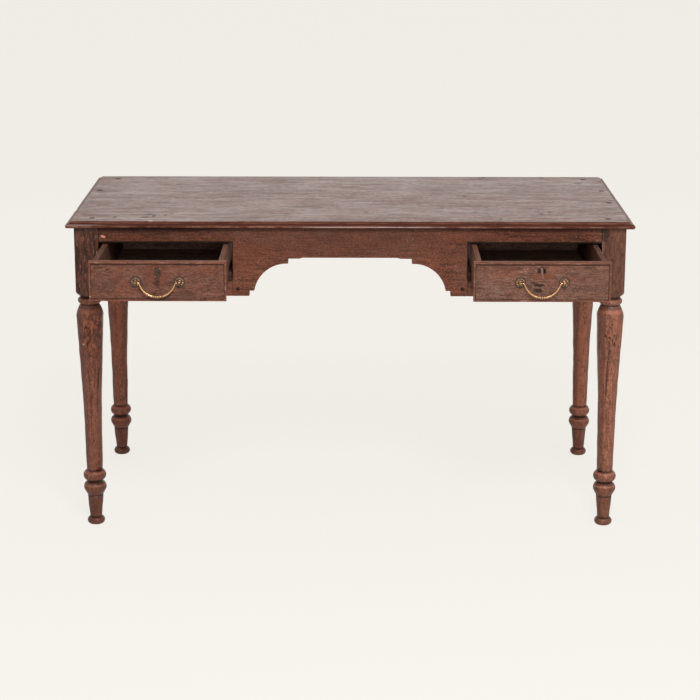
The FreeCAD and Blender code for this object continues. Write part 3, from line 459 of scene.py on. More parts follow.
def leg_finish(name, seed, tone, red, post, worn=0.85):
    """Turned leg: one tone on the shaft, with the square post in another, dirt and painted shade in the
    grooves, painted shade on its side facets and painted highlights on its rings and bulb.
    """
    wood = OldWood(name, ALONG_Z, seed, tone, 0.36, (70, 6), (200, 24))
    wood.cloud(red, 22, 6, 0.46, 0.66, 0.6)
    wood.cloud(shade(tone, 0.35), 60, 8, 0.56, 0.68, 0.6)
    wood.cloud(shade(tone, 1.8), 130, 14, 0.57, 0.69, 0.45)
    bulb = wood.band("Z", *BULB, 0.05)
    # Pale blotches on the bulb are painted highlights; the same noise sinks dark dents
    glint_and_dent_noise = wood.noise(wood.along(105, 60, wood.path), detail=6, roughness=0.72, distortion=1.2)
    wood.cover(wood.math("MULTIPLY", bulb, wood.levels(glint_and_dent_noise, 0.51, 0.59)), shade(red, 1.7), 0.8 * worn)
    dents = wood.math("MULTIPLY", bulb, wood.levels(glint_and_dent_noise, 0.48, 0.41))
    wood.cover(dents, shade(tone, 0.22), worn)
    wood.sink(dents, 1.4 * worn)
    # Painted highlight on the bulb's shoulder
    wood.cover(wood.band("Z", *BULB_SHOULDER_HIGHLIGHT, 0.006), shade(tone, 1.9), 0.5)
    wood.cover(wood.band("Z", *BULB_CAP, 0.003), (0.060, 0.036, 0.026), 0.55)
    square = wood.levels(wood.axis("Z"), POST_LOW - 0.001, POST_LOW + 0.003)
    weathered = wood.noise(wood.along(120, 24, wood.path), detail=7, roughness=0.75, distortion=0.6)
    weathered = wood.ramp(
        weathered, (0.42, shade(post, 1 - worn)), (0.50, post), (0.60, shade(post, 1 + 1.4 * worn))
    )
    wood.cover(square, weathered, 0.9)
    splits = wood.levels(wood.noise(wood.along(260, 30, wood.path), detail=2), 0.57, 0.65)
    wood.cover(wood.math("MULTIPLY", square, splits), DIRT_AND_SHADE, worn)
    slivers = wood.levels(wood.noise(wood.along(300, 60, wood.path), detail=2), 0.38, 0.32)
    wood.cover(wood.math("MULTIPLY", square, slivers), (0.250, 0.115, 0.072), worn)
    # Darker facets at the leg's left and right sides: painted shade
    side = wood.levels(wood.math("ABSOLUTE", wood.facing("X")), 0.55, 0.98)
    shaft = wood.levels(wood.axis("Z"), POST_LOW, POST_LOW - 0.02)
    wood.cover(wood.math("MULTIPLY", side, shaft), DIRT_AND_SHADE, 0.42)
    # Darker facets turned to the left: painted shade
    left_facet_shade = wood.levels(wood.facing("X"), -0.35, -0.62)
    wood.cover(wood.math("MULTIPLY", left_facet_shade, shaft), shade(tone, 0.4), 0.4)
    wood.cover(wood.levels(wood.axis("Z"), 0.16, 0.06), shade(tone, 0.3), 0.5)
    wood.cloud((0.034, 0.016, 0.011), 80, 60, 0.54, 0.64, 0.45)
    # Painted shade, with some dirt, in the hollow neck between the ankle rings
    wood.cover(wood.band("Z", *RING_NECK_DIRT_AND_SHADE, 0.008), DIRT_AND_SHADE, 0.5)
    # Painted highlights on the crests of the ankle rings
    for place in RING_HIGHLIGHTS:
        wood.cover(wood.line("Z", place, 0.0030), shade(tone, 2.0), 0.4)
    # Dark lines in the turned grooves: dirt and painted shade
    for place in LEG_GROOVES:
        wood.cover(wood.line("Z", place, 0.0030), DIRT_AND_SHADE, 0.85)
    wood.rub((0.270, 0.110, 0.064), 0.5)
    wood.dirt_and_shade_in_corners(0.9, 0.014)
    wood.flecks(CHIP, 0.014, 0.0012, 0.8, 0.50, 1.3)
    wood.flecks(DIRT_AND_SHADE, 0.015, 0.0020, 0.8, 0.50)
    return wood


# Heights on a leg
LEG_GROOVES = (0.0185, 0.0740, 0.1100, 0.1385, 0.5560, 0.5730)
RING_HIGHLIGHTS = (0.1010, 0.1330)
RING_NECK_DIRT_AND_SHADE = (0.1050, 0.1150)
BULB = (0.425, 0.535)
BULB_SHOULDER_HIGHLIGHT = (0.537, 0.546)
BULB_CAP = (0.547, 0.554)

# Dents in the bulb of the front right leg: x, z, half width and half height
RIGHT_DENTS = (
    (0.6226, 0.480, 0.0024, 0.0030), (0.6225, 0.467, 0.0020, 0.0022), (0.6300, 0.472, 0.0012, 0.0050),
    (0.6350, 0.464, 0.0022, 0.0040), (0.6245, 0.448, 0.0016, 0.0040), (0.6225, 0.440, 0.0024, 0.0024),
    (0.6345, 0.486, 0.0012, 0.0030), (0.6130, 0.485, 0.0020, 0.0040), (0.6350, 0.443, 0.0010, 0.0050),
)


def front_left_leg_finish():
    """The darkest leg, with a white chip on its bulb and a split below it."""
    wood = leg_finish(
        "front_left_leg_wood", 4, (0.156, 0.054, 0.032), (0.196, 0.058, 0.028), (0.056, 0.019, 0.011)
    )
    wood.mark((-0.640, POST_FACE, 0.460), (0.0022, 0.02, 0.0022), (0.50, 0.43, 0.36), 0.9, depth=0)
    wood.mark((-0.608, -0.31, 0.375), (0.0018, 0.02, 0.040), SCAR, 0.85, (0, 0.08, 0))
    return wood.done((0.28, 0.45), 0.22, 0.7)


def front_right_leg_finish():
    """A smoother leg, with dents in its bulb, a long split and a dark corner on its post."""
    wood = leg_finish(
        "front_right_leg_wood", 9, (0.215, 0.082, 0.050), (0.255, 0.088, 0.047), (0.098, 0.038, 0.023), 0.3
    )
    for x, z, wide, tall in RIGHT_DENTS:
        wood.mark((x, POST_FACE, z), (wide, 0.02, tall), DIRT_AND_SHADE, 0.8, ragged=0.5, depth=1.5)
    wood.mark(
        (0.6195, POST_FACE, 0.375), (0.0020, 0.02, 0.060), (0.030, 0.014, 0.011), 0.8,
        (0, 0.02, 0), depth=1.2,
    )
    wood.mark((0.603, POST_FACE, 0.735), (0.010, 0.02, 0.022), DIRT_AND_SHADE, 0.75, ragged=0.6)
    wood.mark((0.599, POST_FACE, 0.700), (0.0014, 0.02, 0.030), (0.26, 0.19, 0.16), 0.4, ragged=0.9)
    return wood.done((0.28, 0.45), 0.22, 0.7)


def rear_leg_finish(name, seed, tone, red):
    return leg_finish(name, seed, tone, red, (0.090, 0.035, 0.022)).done((0.3, 0.5), 0.2, 0.6)


def drawer_front_finish(side, seed, tone, marks):
    """Drawer front: mauve-brown with red and dark patches, small scars, and dirt with painted shade along
    the beads.
    """
    wood = OldWood(f"{side}_drawer_front_wood", ALONG_X, seed, tone, 0.42, (80, 14), (240, 46), 0.05)
    wood.cloud((0.180, 0.054, 0.028), 14, 7, 0.46, 0.66, 0.5)
    wood.cloud((0.064, 0.028, 0.019), 30, 12, 0.53, 0.68, 0.55)
    wood.cloud((0.205, 0.128, 0.100), 90, 34, 0.54, 0.70, 0.4)
    wood.ticks((0.036, 0.016, 0.011), 180, 40, 0.62, 0.7)
    low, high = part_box(f"{side}_drawer_front")
    # Broken dark lines along the end and bottom beads: dirt and painted shade
    broken = wood.levels(wood.noise(wood.along(60, 60), detail=4), 0.36, 0.56, 0.35, 1)
    for axis, place in (("X", low.x), ("X", high.x), ("Z", low.z + 0.004)):
        wood.cover(wood.math("MULTIPLY", wood.line(axis, place, 0.0016), broken), DIRT_AND_SHADE, 0.8)
    # Painted shade under the top bead's overhang
    wood.cover(wood.band("Z", high.z - 0.0030, high.z + 0.001, 0.0016), DIRT_AND_SHADE, 0.8)
    wood.flecks(DIRT_AND_SHADE, 0.011, 0.0017, 0.85, 0.48, 1.5)
    wood.flecks(CHIP, 0.009, 0.0012, 0.7, 0.50, 1.3)
    for x, z, wide, tall, color, amount in marks:
        wood.mark((x, DRAWER_FACE, z), (wide, 0.03, tall), color, amount, ragged=0.4)
    return wood.done(*WORN_POLISH)


# Marks on the drawer fronts: x, z, half width, half height, color and amount
LEFT_MARKS = (
    (-0.4385, 0.6750, 0.0300, 0.0250, (0.120, 0.036, 0.020), 0.5),
    (-0.4700, 0.6180, 0.1300, 0.0060, (0.040, 0.018, 0.012), 0.5),
    (-0.4375, 0.6840, 0.0075, 0.0115, (0.028, 0.014, 0.011), 0.7),
    (-0.4390, 0.6660, 0.0045, 0.0120, (0.036, 0.016, 0.011), 0.6),
    (-0.4405, 0.6575, 0.0085, 0.0060, (0.042, 0.015, 0.010), 0.7),
    # The next three pale spots at the rim of the left keyhole's tongue are painted highlights
    (-0.4448, 0.6895, 0.0012, 0.0014, (0.34, 0.28, 0.25), 0.7),
    (-0.4322, 0.6910, 0.0011, 0.0022, (0.36, 0.30, 0.28), 0.8),
    (-0.4420, 0.6740, 0.0014, 0.0020, (0.26, 0.20, 0.18), 0.7),
)
RIGHT_MARKS = (
    (0.4385, 0.6750, 0.0260, 0.0060, (0.150, 0.040, 0.019), 0.6),
    (0.4318, 0.6880, 0.0055, 0.0058, SCAR, 0.95),
    (0.4438, 0.6870, 0.0026, 0.0075, SCAR, 0.75),
    (0.4330, 0.6548, 0.0125, 0.0030, SCAR, 0.95),
    (0.4300, 0.6430, 0.0090, 0.0045, SCAR, 0.85),
)


def bead_finish():
    """Rubbed red-brown beads with pale chips."""
    wood = OldWood("worn_bead_wood", ALONG_X, 6, (0.140, 0.048, 0.026), 0.5)
    wood.cloud((0.050, 0.020, 0.013), 60, 22, 0.52, 0.64, 0.7)
    wood.cloud((0.300, 0.165, 0.120), 80, 34, 0.54, 0.68, 0.55)
    wood.rub((0.330, 0.165, 0.112), 0.5, 0.003)
    wood.flecks((0.48, 0.41, 0.36), 0.011, 0.0016, 0.8, 0.50)
    return wood.done((0.4, 0.6), 0.18)


def inner_finish(name, grain, seed, tone):
    """Bare wood inside: dry, brown and dusty."""
    wood = OldWood(name, grain, seed, tone, 0.45)
    wood.cloud(shade(tone, 0.5), 24, 7, 0.50, 0.66, 0.6)
    wood.cloud(shade(tone, 1.5), 34, 12, 0.54, 0.68, 0.5)
    wood.rub(shade(tone, 1.7), 0.5)
    wood.dirt_and_shade_in_corners(0.5)
    return wood.done((0.6, 0.85), 0.14)


def peg_finish(name, seed, tone):
    wood = OldWood(name, ALONG_Z, seed, tone, 0.6)
    wood.cloud(shade(tone, 0.4), 120, 120, 0.50, 0.62, 0.7)
    wood.cloud(shade(tone, 2.2), 160, 160, 0.56, 0.68, 0.5)
    return wood


def top_peg_finish():
    """Dark pegs, apart from one on the left that is rubbed like the top."""
    wood = peg_finish("dark_peg_wood", 8, (0.050, 0.022, 0.015))
    left_end = wood.levels(wood.axis("X"), -0.50, -0.55)
    rubbed = wood.math("MULTIPLY", wood.band("Y", -0.20, -0.01, 0.01), left_end)
    wood.cover(rubbed, (0.240, 0.170, 0.150), 0.8)
    return wood.done(*BARE_END)


def tongue_finish(name, seed, tone):
    """Keyhole tongue: dull, with chipped paint."""
    wood = OldWood(name, ALONG_Z, seed, tone, 0.5, (300, 90), (600, 200))
    wood.cloud(shade(tone, 0.35), 260, 90, 0.50, 0.62, 0.7)
    wood.rub(shade(tone, 1.8), 0.6, 0.002)
    wood.flecks((0.40, 0.36, 0.34), 0.006, 0.0012, 0.7, 0.52, 1)
    return wood.done((0.7, 0.9), 0.04)


class OldBrass(Finish):
    """Old metal: bright where hands rub it, dull and brown in hollows and smears."""

    def __init__(self, name, seed, share):
        super().__init__(name)
        smear = self.noise(self.moved((1, 1, 1), (seed, seed * 2, seed * 3)), 240, 4, 0.6)
        hollow = self.levels(self.openness(0.003), 0.92, 0.45)
        self.tarnish = self.math("MAXIMUM", hollow, self.levels(smear, share - 0.1, share + 0.1))
        along = self.math("SUBTRACT", self.math("ABSOLUTE", self.axis("X")), DRAWER_X)
        self.from_middle = self.math("ABSOLUTE", along)

    def dirty(self, mask):
        self.tarnish = self.math("MAXIMUM", self.tarnish, mask)

    def collar(self):
        """Dirt in the grooves of the bail's ringed middle."""
        for place in COLLAR_GROOVES:
            below = self.levels(self.from_middle, place - 0.0013, place - 0.0005)
            above = self.levels(self.from_middle, place + 0.0013, place + 0.0005)
            self.dirty(self.math("MULTIPLY", below, above))

    def rims(self):
        """Dirt round the rims of the rosettes."""
        out = self.math("SUBTRACT", self.from_middle, BAIL_HALF)
        rise = self.math("SUBTRACT", self.axis("Z"), BAIL_Z)
        radius = self.math("MULTIPLY_ADD", out, out, self.math("MULTIPLY", rise, rise))
        self.dirty(self.levels(self.math("SQRT", radius), 0.0075, 0.0105))

    def done(self, bright, dull):
        return self.dress(
            Base_Color=self.blend(self.tarnish, bright, dull),
            Metallic=self.levels(self.tarnish, 0, 1, 1, 0.4),
            Roughness=self.levels(self.tarnish, 0, 1, 0.34, 0.6),
            Normal=self.bump(self.noise(self.place, 900, 3), 0.3, 0.0003),
        )


def bail_finish():
    brass = OldBrass("rubbed_brass", 1, 0.64)
    brass.collar()
    return brass.done((0.62, 0.37, 0.19), (0.05, 0.026, 0.013))


def rosette_finish():
    brass = OldBrass("aged_brass", 2, 0.50)
    brass.rims()
    return brass.done((0.34, 0.185, 0.095), (0.066, 0.036, 0.023))


def nail_finish():
    return OldBrass("rusted_nails", 3, 0.5).done((0.10, 0.08, 0.07), (0.05, 0.03, 0.02))


# Distances of the grooves from the middle of a bail
COLLAR_GROOVES = (0.002, 0.006, 0.010)

# Finishes
top_wood = top_finish()
front_wood = front_finish()
rail_wood = rail_finish("rail_wood", ALONG_X, 3).done(*WORN_POLISH)
end_wood = rail_finish("end_apron_wood", ALONG_Y, 7).done(*WORN_POLISH)
leg_wood = {
    "front_left_leg": front_left_leg_finish(),
    "front_right_leg": front_right_leg_finish(),
    "rear_left_leg": rear_leg_finish(
        "rear_left_leg_wood", 11, (0.200, 0.068, 0.040), (0.235, 0.070, 0.036)
    ),
    "rear_right_leg": rear_leg_finish(
        "rear_right_leg_wood", 12, (0.260, 0.098, 0.060), (0.295, 0.098, 0.052)
    ),
}
drawer_wood = {
    "left": drawer_front_finish("left", 13, (0.112, 0.047, 0.031), LEFT_MARKS),
    "right": drawer_front_finish("right", 14, (0.124, 0.060, 0.042), RIGHT_MARKS),
}
bead_wood = bead_finish()
inner_wood = inner_finish("bare_inner_wood", ALONG_Y, 15, (0.098, 0.047, 0.031))
# A paler, redder copy of the inner wood for the drawer sides that face the middle: painted light on their
# lit outer faces
lit_side_wood = inner_finish("drawer_side_lit_wood", ALONG_Y, 20, (0.132, 0.060, 0.040))
cross_wood = inner_finish("bare_cross_wood", ALONG_X, 16, (0.340, 0.206, 0.155))
peg_wood = top_peg_finish()
# Near-black plugs in the keyholes: painted shade that stands for the holes' dark insides
keyhole_shade_wood = peg_finish("keyhole_shade_plug_wood", 19, (0.016, 0.009, 0.007)).done(*BARE_END)
tongue_tone = {
    "left": tongue_finish("grey_tongue", 18, (0.050, 0.031, 0.025)),
    "right": tongue_finish("brown_tongue", 17, (0.130, 0.078, 0.062)),
}
bail_brass = bail_finish()
aged_brass = rosette_finish()
nail_iron = nail_finish()

# Vertices this close are one
MERGED = 0.00001


def body_of(name):
    """Drawer pieces ride on their drawer, all other wood on the frame."""
    side = name.split("_")[0]
    return f"{side}_drawer" if side in SIDES and "drawer" in name else "frame"


def piece(name, bm, body, slot, material, *replaced, smooth=35):
    """Finish a bmesh as a piece that rides on a body and stands for CAD nodes."""
    bmesh.ops.recalc_face_normals(bm, faces=bm.faces)
    mesh = bpy.data.meshes.new(name)
    bm.to_mesh(mesh)
    bm.free()
    mesh.materials.append(material)
    mesh.shade_smooth()
    mesh.set_sharp_from_angle(angle=math.radians(smooth))
    made = bpy.data.objects.new(name, mesh)
    bpy.context.scene.collection.objects.link(made)
    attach(made, body)
    if replaced:
        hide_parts(*replaced)
    return made


def copied(name):
    """A merged copy of a CAD node's mesh, with its flat faces whole."""
    bm = bmesh.new()
    bm.from_mesh(nodes[name].data)
    bmesh.ops.remove_doubles(bm, verts=bm.verts, dist=MERGED)
    bmesh.ops.dissolve_limit(bm, angle_limit=math.radians(0.5), verts=bm.verts, edges=bm.edges)
    return bm


def eased(bm, edges, width, segments=2):
    """Round the edges over a width."""
    bmesh.ops.bevel(
        bm, geom=edges, offset=width, segments=segments, profile=0.5, affect="EDGES", material=-1
    )


def sharp_edges(bm, shortest, least):
    """Edges over a length whose faces meet at more than an angle in degrees."""
    return [
        edge for edge in bm.edges
        if edge.is_manifold
        and edge.calc_face_angle(0) > math.radians(least)
        and edge.calc_length() > shortest
    ]


def edges_of(verts):
    """Each edge at these vertices once, in a settled order."""
    return list(dict.fromkeys(edge for vert in verts for edge in vert.link_edges))


def dress(names, material):
    """Give CAD nodes their finish."""
    for name in names:
        mesh = nodes[name].data
        mesh.materials.clear()
        mesh.materials.append(material)


def both(*pieces):
    """The names of pieces that both drawers or both sides have."""
    return [f"{side}_{name}" for side in SIDES for name in pieces]


# CAD nodes that keep their shape
for side, wood in drawer_wood.items():
    dress([f"{side}_drawer_front"], wood)
dress(
    both("inner_runner", "outer_runner", "inner_kicker", "outer_kicker", "inner_guide", "outer_guide"),
    inner_wood,
)
dress(both("drawer_stops", "drawer_back", "drawer_bottom"), cross_wood)
dress(["top_pegs", "joint_pegs"], peg_wood)
dress(both("keyhole_plug"), keyhole_shade_wood)
dress(both("handle_nuts"), aged_brass)
dress(both("drawer_nails"), nail_iron)


# Worn copies of the boards and legs
def sliced(bm, axis, start, end, step):
    """Cut a mesh across at even steps, so that it can be made uneven."""
    place = start
    while place < end:
        point = Vector((0, 0, 0))
        point[axis] = place
        normal = Vector((0, 0, 0))
        normal[axis] = 1
        bmesh.ops.bisect_plane(
            bm, geom=[*bm.verts, *bm.edges, *bm.faces], dist=0.00005, plane_co=point, plane_no=normal
        )
        place += step


# One seed, so that every run makes the same unevenness
noise.seed_set(1)


def uneven(point, pitch, amount):
    """A small shift that varies from place to place."""
    return noise.noise_vector(point * pitch) * amount


# The facets of a leg's shaft end here, and a post's corners lie this far from its middle
FACETS_HIGH = 0.545
POST_CORNER = 0.027

# Widths of rubbed edges, the shortest edge that is rubbed, and the stretches that are cut across
FACET_WEAR = 0.0035
EDGE_WEAR = 0.0012
SHORTEST = 0.012
ANKLE = (0.028, 0.085)
SHAFT = (0.160, 0.540)
LEG_STEP = 0.008
TOP_STEP = 0.011


def at_corner(point):
    """Whether a point lies at a corner of a post."""
    return abs(abs(point.x) - LEG_X) > POST_CORNER and abs(abs(point.y) - LEG_Y) > POST_CORNER


def worn_leg(name):
    """A leg with its long arrises rubbed round and its faces hand-worked."""
    bm = copied(name)
    arrises = []
    for edge in sharp_edges(bm, 0.0, 20):
        run = edge.verts[1].co - edge.verts[0].co
        if abs(run.z) > 0.8 * run.length and max(vert.co.z for vert in edge.verts) < FACETS_HIGH:
            arrises.append(edge)
    eased(bm, arrises, FACET_WEAR, 3)
    corners = [
        edge for edge in sharp_edges(bm, SHORTEST, 60)
        if min(vert.co.z for vert in edge.verts) > CASE_LOW
        and abs(edge.verts[0].co.z - edge.verts[1].co.z) > SHORTEST
        and all(at_corner(vert.co) for vert in edge.verts)
    ]
    eased(bm, corners, EDGE_WEAR)
    sliced(bm, 2, *ANKLE, LEG_STEP)
    sliced(bm, 2, *SHAFT, LEG_STEP)
    for vert in bm.verts:
        if 0.004 < vert.co.z < POST_LOW - 0.002:
            vert.co += uneven(vert.co, 38, 0.0009) * Vector((1, 1, 0))
    piece(f"{name}_worn", bm, "frame", "leg_wood", leg_wood[name], name, smooth=32)


def worn_board(name, slot, material):
    """A board with its long edges eased."""
    bm = copied(name)
    eased(bm, sharp_edges(bm, SHORTEST, 60), EDGE_WEAR)
    piece(f"{name}_worn", bm, body_of(name), slot, material, name, smooth=30)


def kept_within(place, half):
    return max(min(place, half), -half)


def worn_top(name):
    """A plank whose moulded edge wanders and is nicked."""
    bm = copied(name)
    sliced(bm, 0, 0.004 - TOP_HALF_X, TOP_HALF_X - 0.003, TOP_STEP)
    low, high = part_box(name)
    sliced(bm, 1, low.y + 0.008, high.y - 0.004, TOP_STEP)
    for vert in bm.verts:
        on_end = abs(vert.co.x) > MOULDING_X - 0.0002
        on_side = abs(vert.co.y) > MOULDING_Y - 0.0002
        nick = max(noise.noise(vert.co * 55 + Vector((3.1, 0, 0))) - 0.42, 0) * 0.006
        drift = uneven(vert.co, 24, 0.0005)
        if on_end:
            vert.co.x = kept_within(vert.co.x + drift.x - math.copysign(nick, vert.co.x), TOP_HALF_X)
        if on_side:
            vert.co.y = kept_within(vert.co.y + drift.y - math.copysign(nick, vert.co.y), TOP_HALF_Y)
    piece(f"{name}_worn", bm, "frame", "top_wood", top_wood, name, smooth=30)


for name in leg_wood:
    worn_leg(name)
for name in ("top_front_board", "top_middle_board", "top_rear_board"):
    worn_top(name)
worn_board("front_apron", "case_wood", front_wood)
worn_board("back_apron", "case_wood", rail_wood)
for name in both("bearer_rail"):
    worn_board(name, "case_wood", rail_wood)
for name in both("side_apron"):
    worn_board(name, "case_wood", end_wood)
# The drawer sides facing the middle get the paler copy, as painted light
for name in both("drawer_inner_side"):
    worn_board(name, "inner_wood", lit_side_wood)
for name in both("drawer_outer_side"):
    worn_board(name, "inner_wood", inner_wood)


# Handles
def ring_profile(bm, centre, points):
    """Spin a profile of radius and distance out from the drawer face about a line along Y."""
    chain = [bm.verts.new((centre.x + radius, DRAWER_FACE - out, centre.z)) for radius, out in points]
    edges = [bm.edges.new(pair) for pair in zip(chain, chain[1:])]
    bmesh.ops.spin(
        bm, geom=[*chain, *edges], cent=centre, axis=(0, 1, 0), angle=2 * math.pi, steps=72, use_merge=True
    )


# Half sections as radius and distance out from the drawer face
ROSETTE = (
    (0.0000, 0.0000), (0.0130, 0.0000), (0.0130, 0.0008), (0.0126, 0.0013), (0.0120, 0.0013),
    (0.0115, 0.0009), (0.0109, 0.0010), (0.0101, 0.0018), (0.0090, 0.0025), (0.0078, 0.0027),
    (0.0067, 0.0023), (0.0061, 0.0016), (0.0056, 0.0016), (0.0051, 0.0025), (0.0044, 0.0032),
    (0.0034, 0.0035), (0.0020, 0.0036), (0.0000, 0.0036),
)
POST = (
    (0.0000, -0.0270), (0.0025, -0.0270), (0.0026, 0.0030), (0.0034, 0.0036), (0.0037, 0.0043),
    (0.0034, 0.0050), (0.0027, 0.0055), (0.0030, 0.0060), (0.0040, 0.0070), (0.0048, 0.0085),
    (0.0050, 0.0100), (0.0048, 0.0115), (0.0041, 0.0129), (0.0032, 0.0138), (0.0024, 0.0141),
    (0.0022, 0.0144), (0.0016, 0.0148), (0.0000, 0.01495),
)
PETALS = 9
PETAL_START = 0.0058
PETAL_LENGTH = 0.0054
PETAL_DEPTH = 0.0008


def rosettes(side):
    """Round back plates with a rolled rim and a ring of embossed petals."""
    bm = bmesh.new()
    for end in (-1, 1):
        centre = Vector((SIDES[side] * DRAWER_X + end * BAIL_HALF, DRAWER_FACE, BAIL_Z))
        known = set(bm.verts)
        ring_profile(bm, centre, ROSETTE)
        bmesh.ops.remove_doubles(bm, verts=bm.verts, dist=MERGED)
        for vert in set(bm.verts) - known:
            arm = vert.co - centre
            radius = math.hypot(arm.x, arm.z)
            swell = math.sin(math.pi * min(max((radius - PETAL_START) / PETAL_LENGTH, 0), 1))
            vert.co.y += PETAL_DEPTH * swell * math.cos(PETALS * math.atan2(arm.z, arm.x))
    body = f"{side}_drawer"
    replaced = f"{side}_handle_rosettes"
    piece(f"{side}_petal_rosettes", bm, body, "aged_brass", aged_brass, replaced, smooth=50)


def posts(side):
    """Ball knuckles on ringed necks, with a small button in front and a shank to the nut behind."""
    bm = bmesh.new()
    for end in (-1, 1):
        centre = Vector((SIDES[side] * DRAWER_X + end * BAIL_HALF, DRAWER_FACE, BAIL_Z))
        ring_profile(bm, centre, POST)
    bmesh.ops.remove_doubles(bm, verts=bm.verts, dist=MERGED)
    body = f"{side}_drawer"
    replaced = f"{side}_handle_posts"
    piece(f"{side}_ball_posts", bm, body, "aged_brass", aged_brass, replaced, smooth=60)


def bar(bm, stations, sides=16):
    """Draw a round bar in the plane of the drawer face through stations of place, heading and radius."""
    last = None
    for place, heading, radius in stations:
        thickness = Matrix.Diagonal((radius, radius, radius, 1))
        pose = Matrix.Translation(place) @ Matrix.Rotation(heading, 4, "Y") @ thickness
        if last is None:
            disc = bmesh.ops.create_circle(bm, segments=sides, radius=1, cap_ends=True, matrix=pose)
            rim = edges_of(disc["verts"])
        else:
            made = bmesh.ops.extrude_edge_only(bm, edges=rim)["geom"]
            moved = [item for item in made if isinstance(item, bmesh.types.BMVert)]
            bmesh.ops.transform(bm, matrix=pose @ last.inverted(), verts=moved)
            rim = [
                item for item in made
                if isinstance(item, bmesh.types.BMEdge) and all(vert in moved for vert in item.verts)
            ]
        last = pose
    bmesh.ops.holes_fill(bm, edges=rim, sides=0)


BOW_RADIUS = 0.0425
BOW_LEAN = math.radians(17)
BOW_BEND = 0.004
PIN_TIP = 0.0515
WIRE_RADIUS = 0.0015
BOW_SWELL = 0.0009
COLLAR_HALF = 0.010
COLLAR_RINGS = 5
COLLAR_RADIUS = 0.0020
COLLAR_RISE = 0.0010
PIN_STEPS = 3
BEND_STEPS = 6
BOW_STEPS = 96


def bail_stations(centre):
    """A bow that thickens towards its ringed middle, with its ends bent out into the knuckles."""
    reach = BOW_RADIUS + BOW_BEND
    bend_x = reach * math.cos(BOW_LEAN)
    bow_rise = reach * math.sin(BOW_LEAN) - BOW_BEND
    half = []
    for step in range(PIN_STEPS + 1):
        x = -PIN_TIP + (PIN_TIP - bend_x) * step / PIN_STEPS
        half.append((Vector((x, 0, 0)), math.pi / 2, WIRE_RADIUS))
    for step in range(1, BEND_STEPS + 1):
        turn = (math.pi / 2 - BOW_LEAN) * step / BEND_STEPS
        corner = Vector((-bend_x + BOW_BEND * math.sin(turn), 0, BOW_BEND * (math.cos(turn) - 1)))
        half.append((corner, math.pi / 2 + turn, WIRE_RADIUS))
    for step in range(1, BOW_STEPS + 1):
        turn = BOW_LEAN + (math.pi / 2 - BOW_LEAN) * step / BOW_STEPS
        x = -BOW_RADIUS * math.cos(turn)
        radius = WIRE_RADIUS + BOW_SWELL * math.sin(turn) ** 3
        if abs(x) < COLLAR_HALF:
            ripple = math.sin(math.pi * COLLAR_RINGS * (x + COLLAR_HALF) / (2 * COLLAR_HALF))
            radius = COLLAR_RADIUS + COLLAR_RISE * abs(ripple)
        half.append((Vector((x, 0, bow_rise - BOW_RADIUS * math.sin(turn))), math.pi - turn, radius))
    other = [
        (Vector((-place.x, 0, place.z)), math.pi - heading, radius)
        for place, heading, radius in half[-2::-1]
    ]
    return [(centre + place, heading, radius) for place, heading, radius in half + other]


def bail(side):
    """A bail handle, drawn along its line."""
    bm = bmesh.new()
    bar(bm, bail_stations(Vector((SIDES[side] * DRAWER_X, BAIL_Y, BAIL_Z))))
    bmesh.ops.remove_doubles(bm, verts=bm.verts, dist=MERGED)
    piece(f"{side}_bow_bail", bm, f"{side}_bail", "bail_brass", bail_brass, f"{side}_bail", smooth=60)


for side in SIDES:
    rosettes(side)
    posts(side)
    bail(side)


# Cock beads round the drawer fronts
def strip(bm, low, high, rounding):
    """A bar whose long front edges are rounded."""
    middle = (low + high) / 2
    size = high - low
    shape = Matrix.Translation(middle) @ Matrix.Diagonal((*size, 1))
    verts = bmesh.ops.create_cube(bm, size=1, matrix=shape)["verts"]
    long_axis = 0 if size.x > size.z else 2
    front = [
        edge for edge in edges_of(verts)
        if all(abs(vert.co.y - low.y) < 0.0001 for vert in edge.verts)
        and abs(edge.verts[0].co[long_axis] - edge.verts[1].co[long_axis]) > 0.01
    ]
    eased(bm, front, rounding, 4)


BEAD = 0.004
BEAD_ROUNDING = 0.0019
BEAD_FACE = -0.5205
LIP_BACK = -0.509


def beads(side):
    """Top, bottom and end beads, the top one over the whole edge of the front."""
    bm = bmesh.new()
    low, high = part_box(f"{side}_drawer_beads")
    strip(bm, Vector((low.x, BEAD_FACE, high.z - BEAD)), high, BEAD_ROUNDING)
    strip(bm, Vector((low.x, BEAD_FACE, low.z)), Vector((high.x, LIP_BACK, low.z + BEAD)), BEAD_ROUNDING)
    for x in (low.x, high.x - BEAD):
        end = Vector((x + BEAD, LIP_BACK, high.z - BEAD))
        strip(bm, Vector((x, BEAD_FACE, low.z + BEAD)), end, BEAD_ROUNDING)
    body = f"{side}_drawer"
    piece(f"{side}_cock_beads", bm, body, "bead_wood", bead_wood, f"{side}_drawer_beads", smooth=50)


for side in SIDES:
    beads(side)


# Tongues that hang over the keyholes: half widths at heights from the keyhole
TONGUE_THICKNESS = 0.0016
TONGUE_ROUNDING = 0.0009
RIGHT_SHIFT = 0.0016
RIGHT_LEAN = 0.12
TONGUE = {
    "left": (
        (0.0030, 0.0056), (0.0048, 0.0034), (0.0052, -0.0030), (0.0046, -0.0090),
        (0.0034, -0.0140), (0.0024, -0.0180), (0.0022, -0.0225), (0.0012, -0.0260),
    ),
    "right": (
        (0.0018, 0.0072), (0.0030, 0.0050), (0.0029, 0.0000), (0.0026, -0.0080),
        (0.0031, -0.0140), (0.0020, -0.0168),
    ),
}


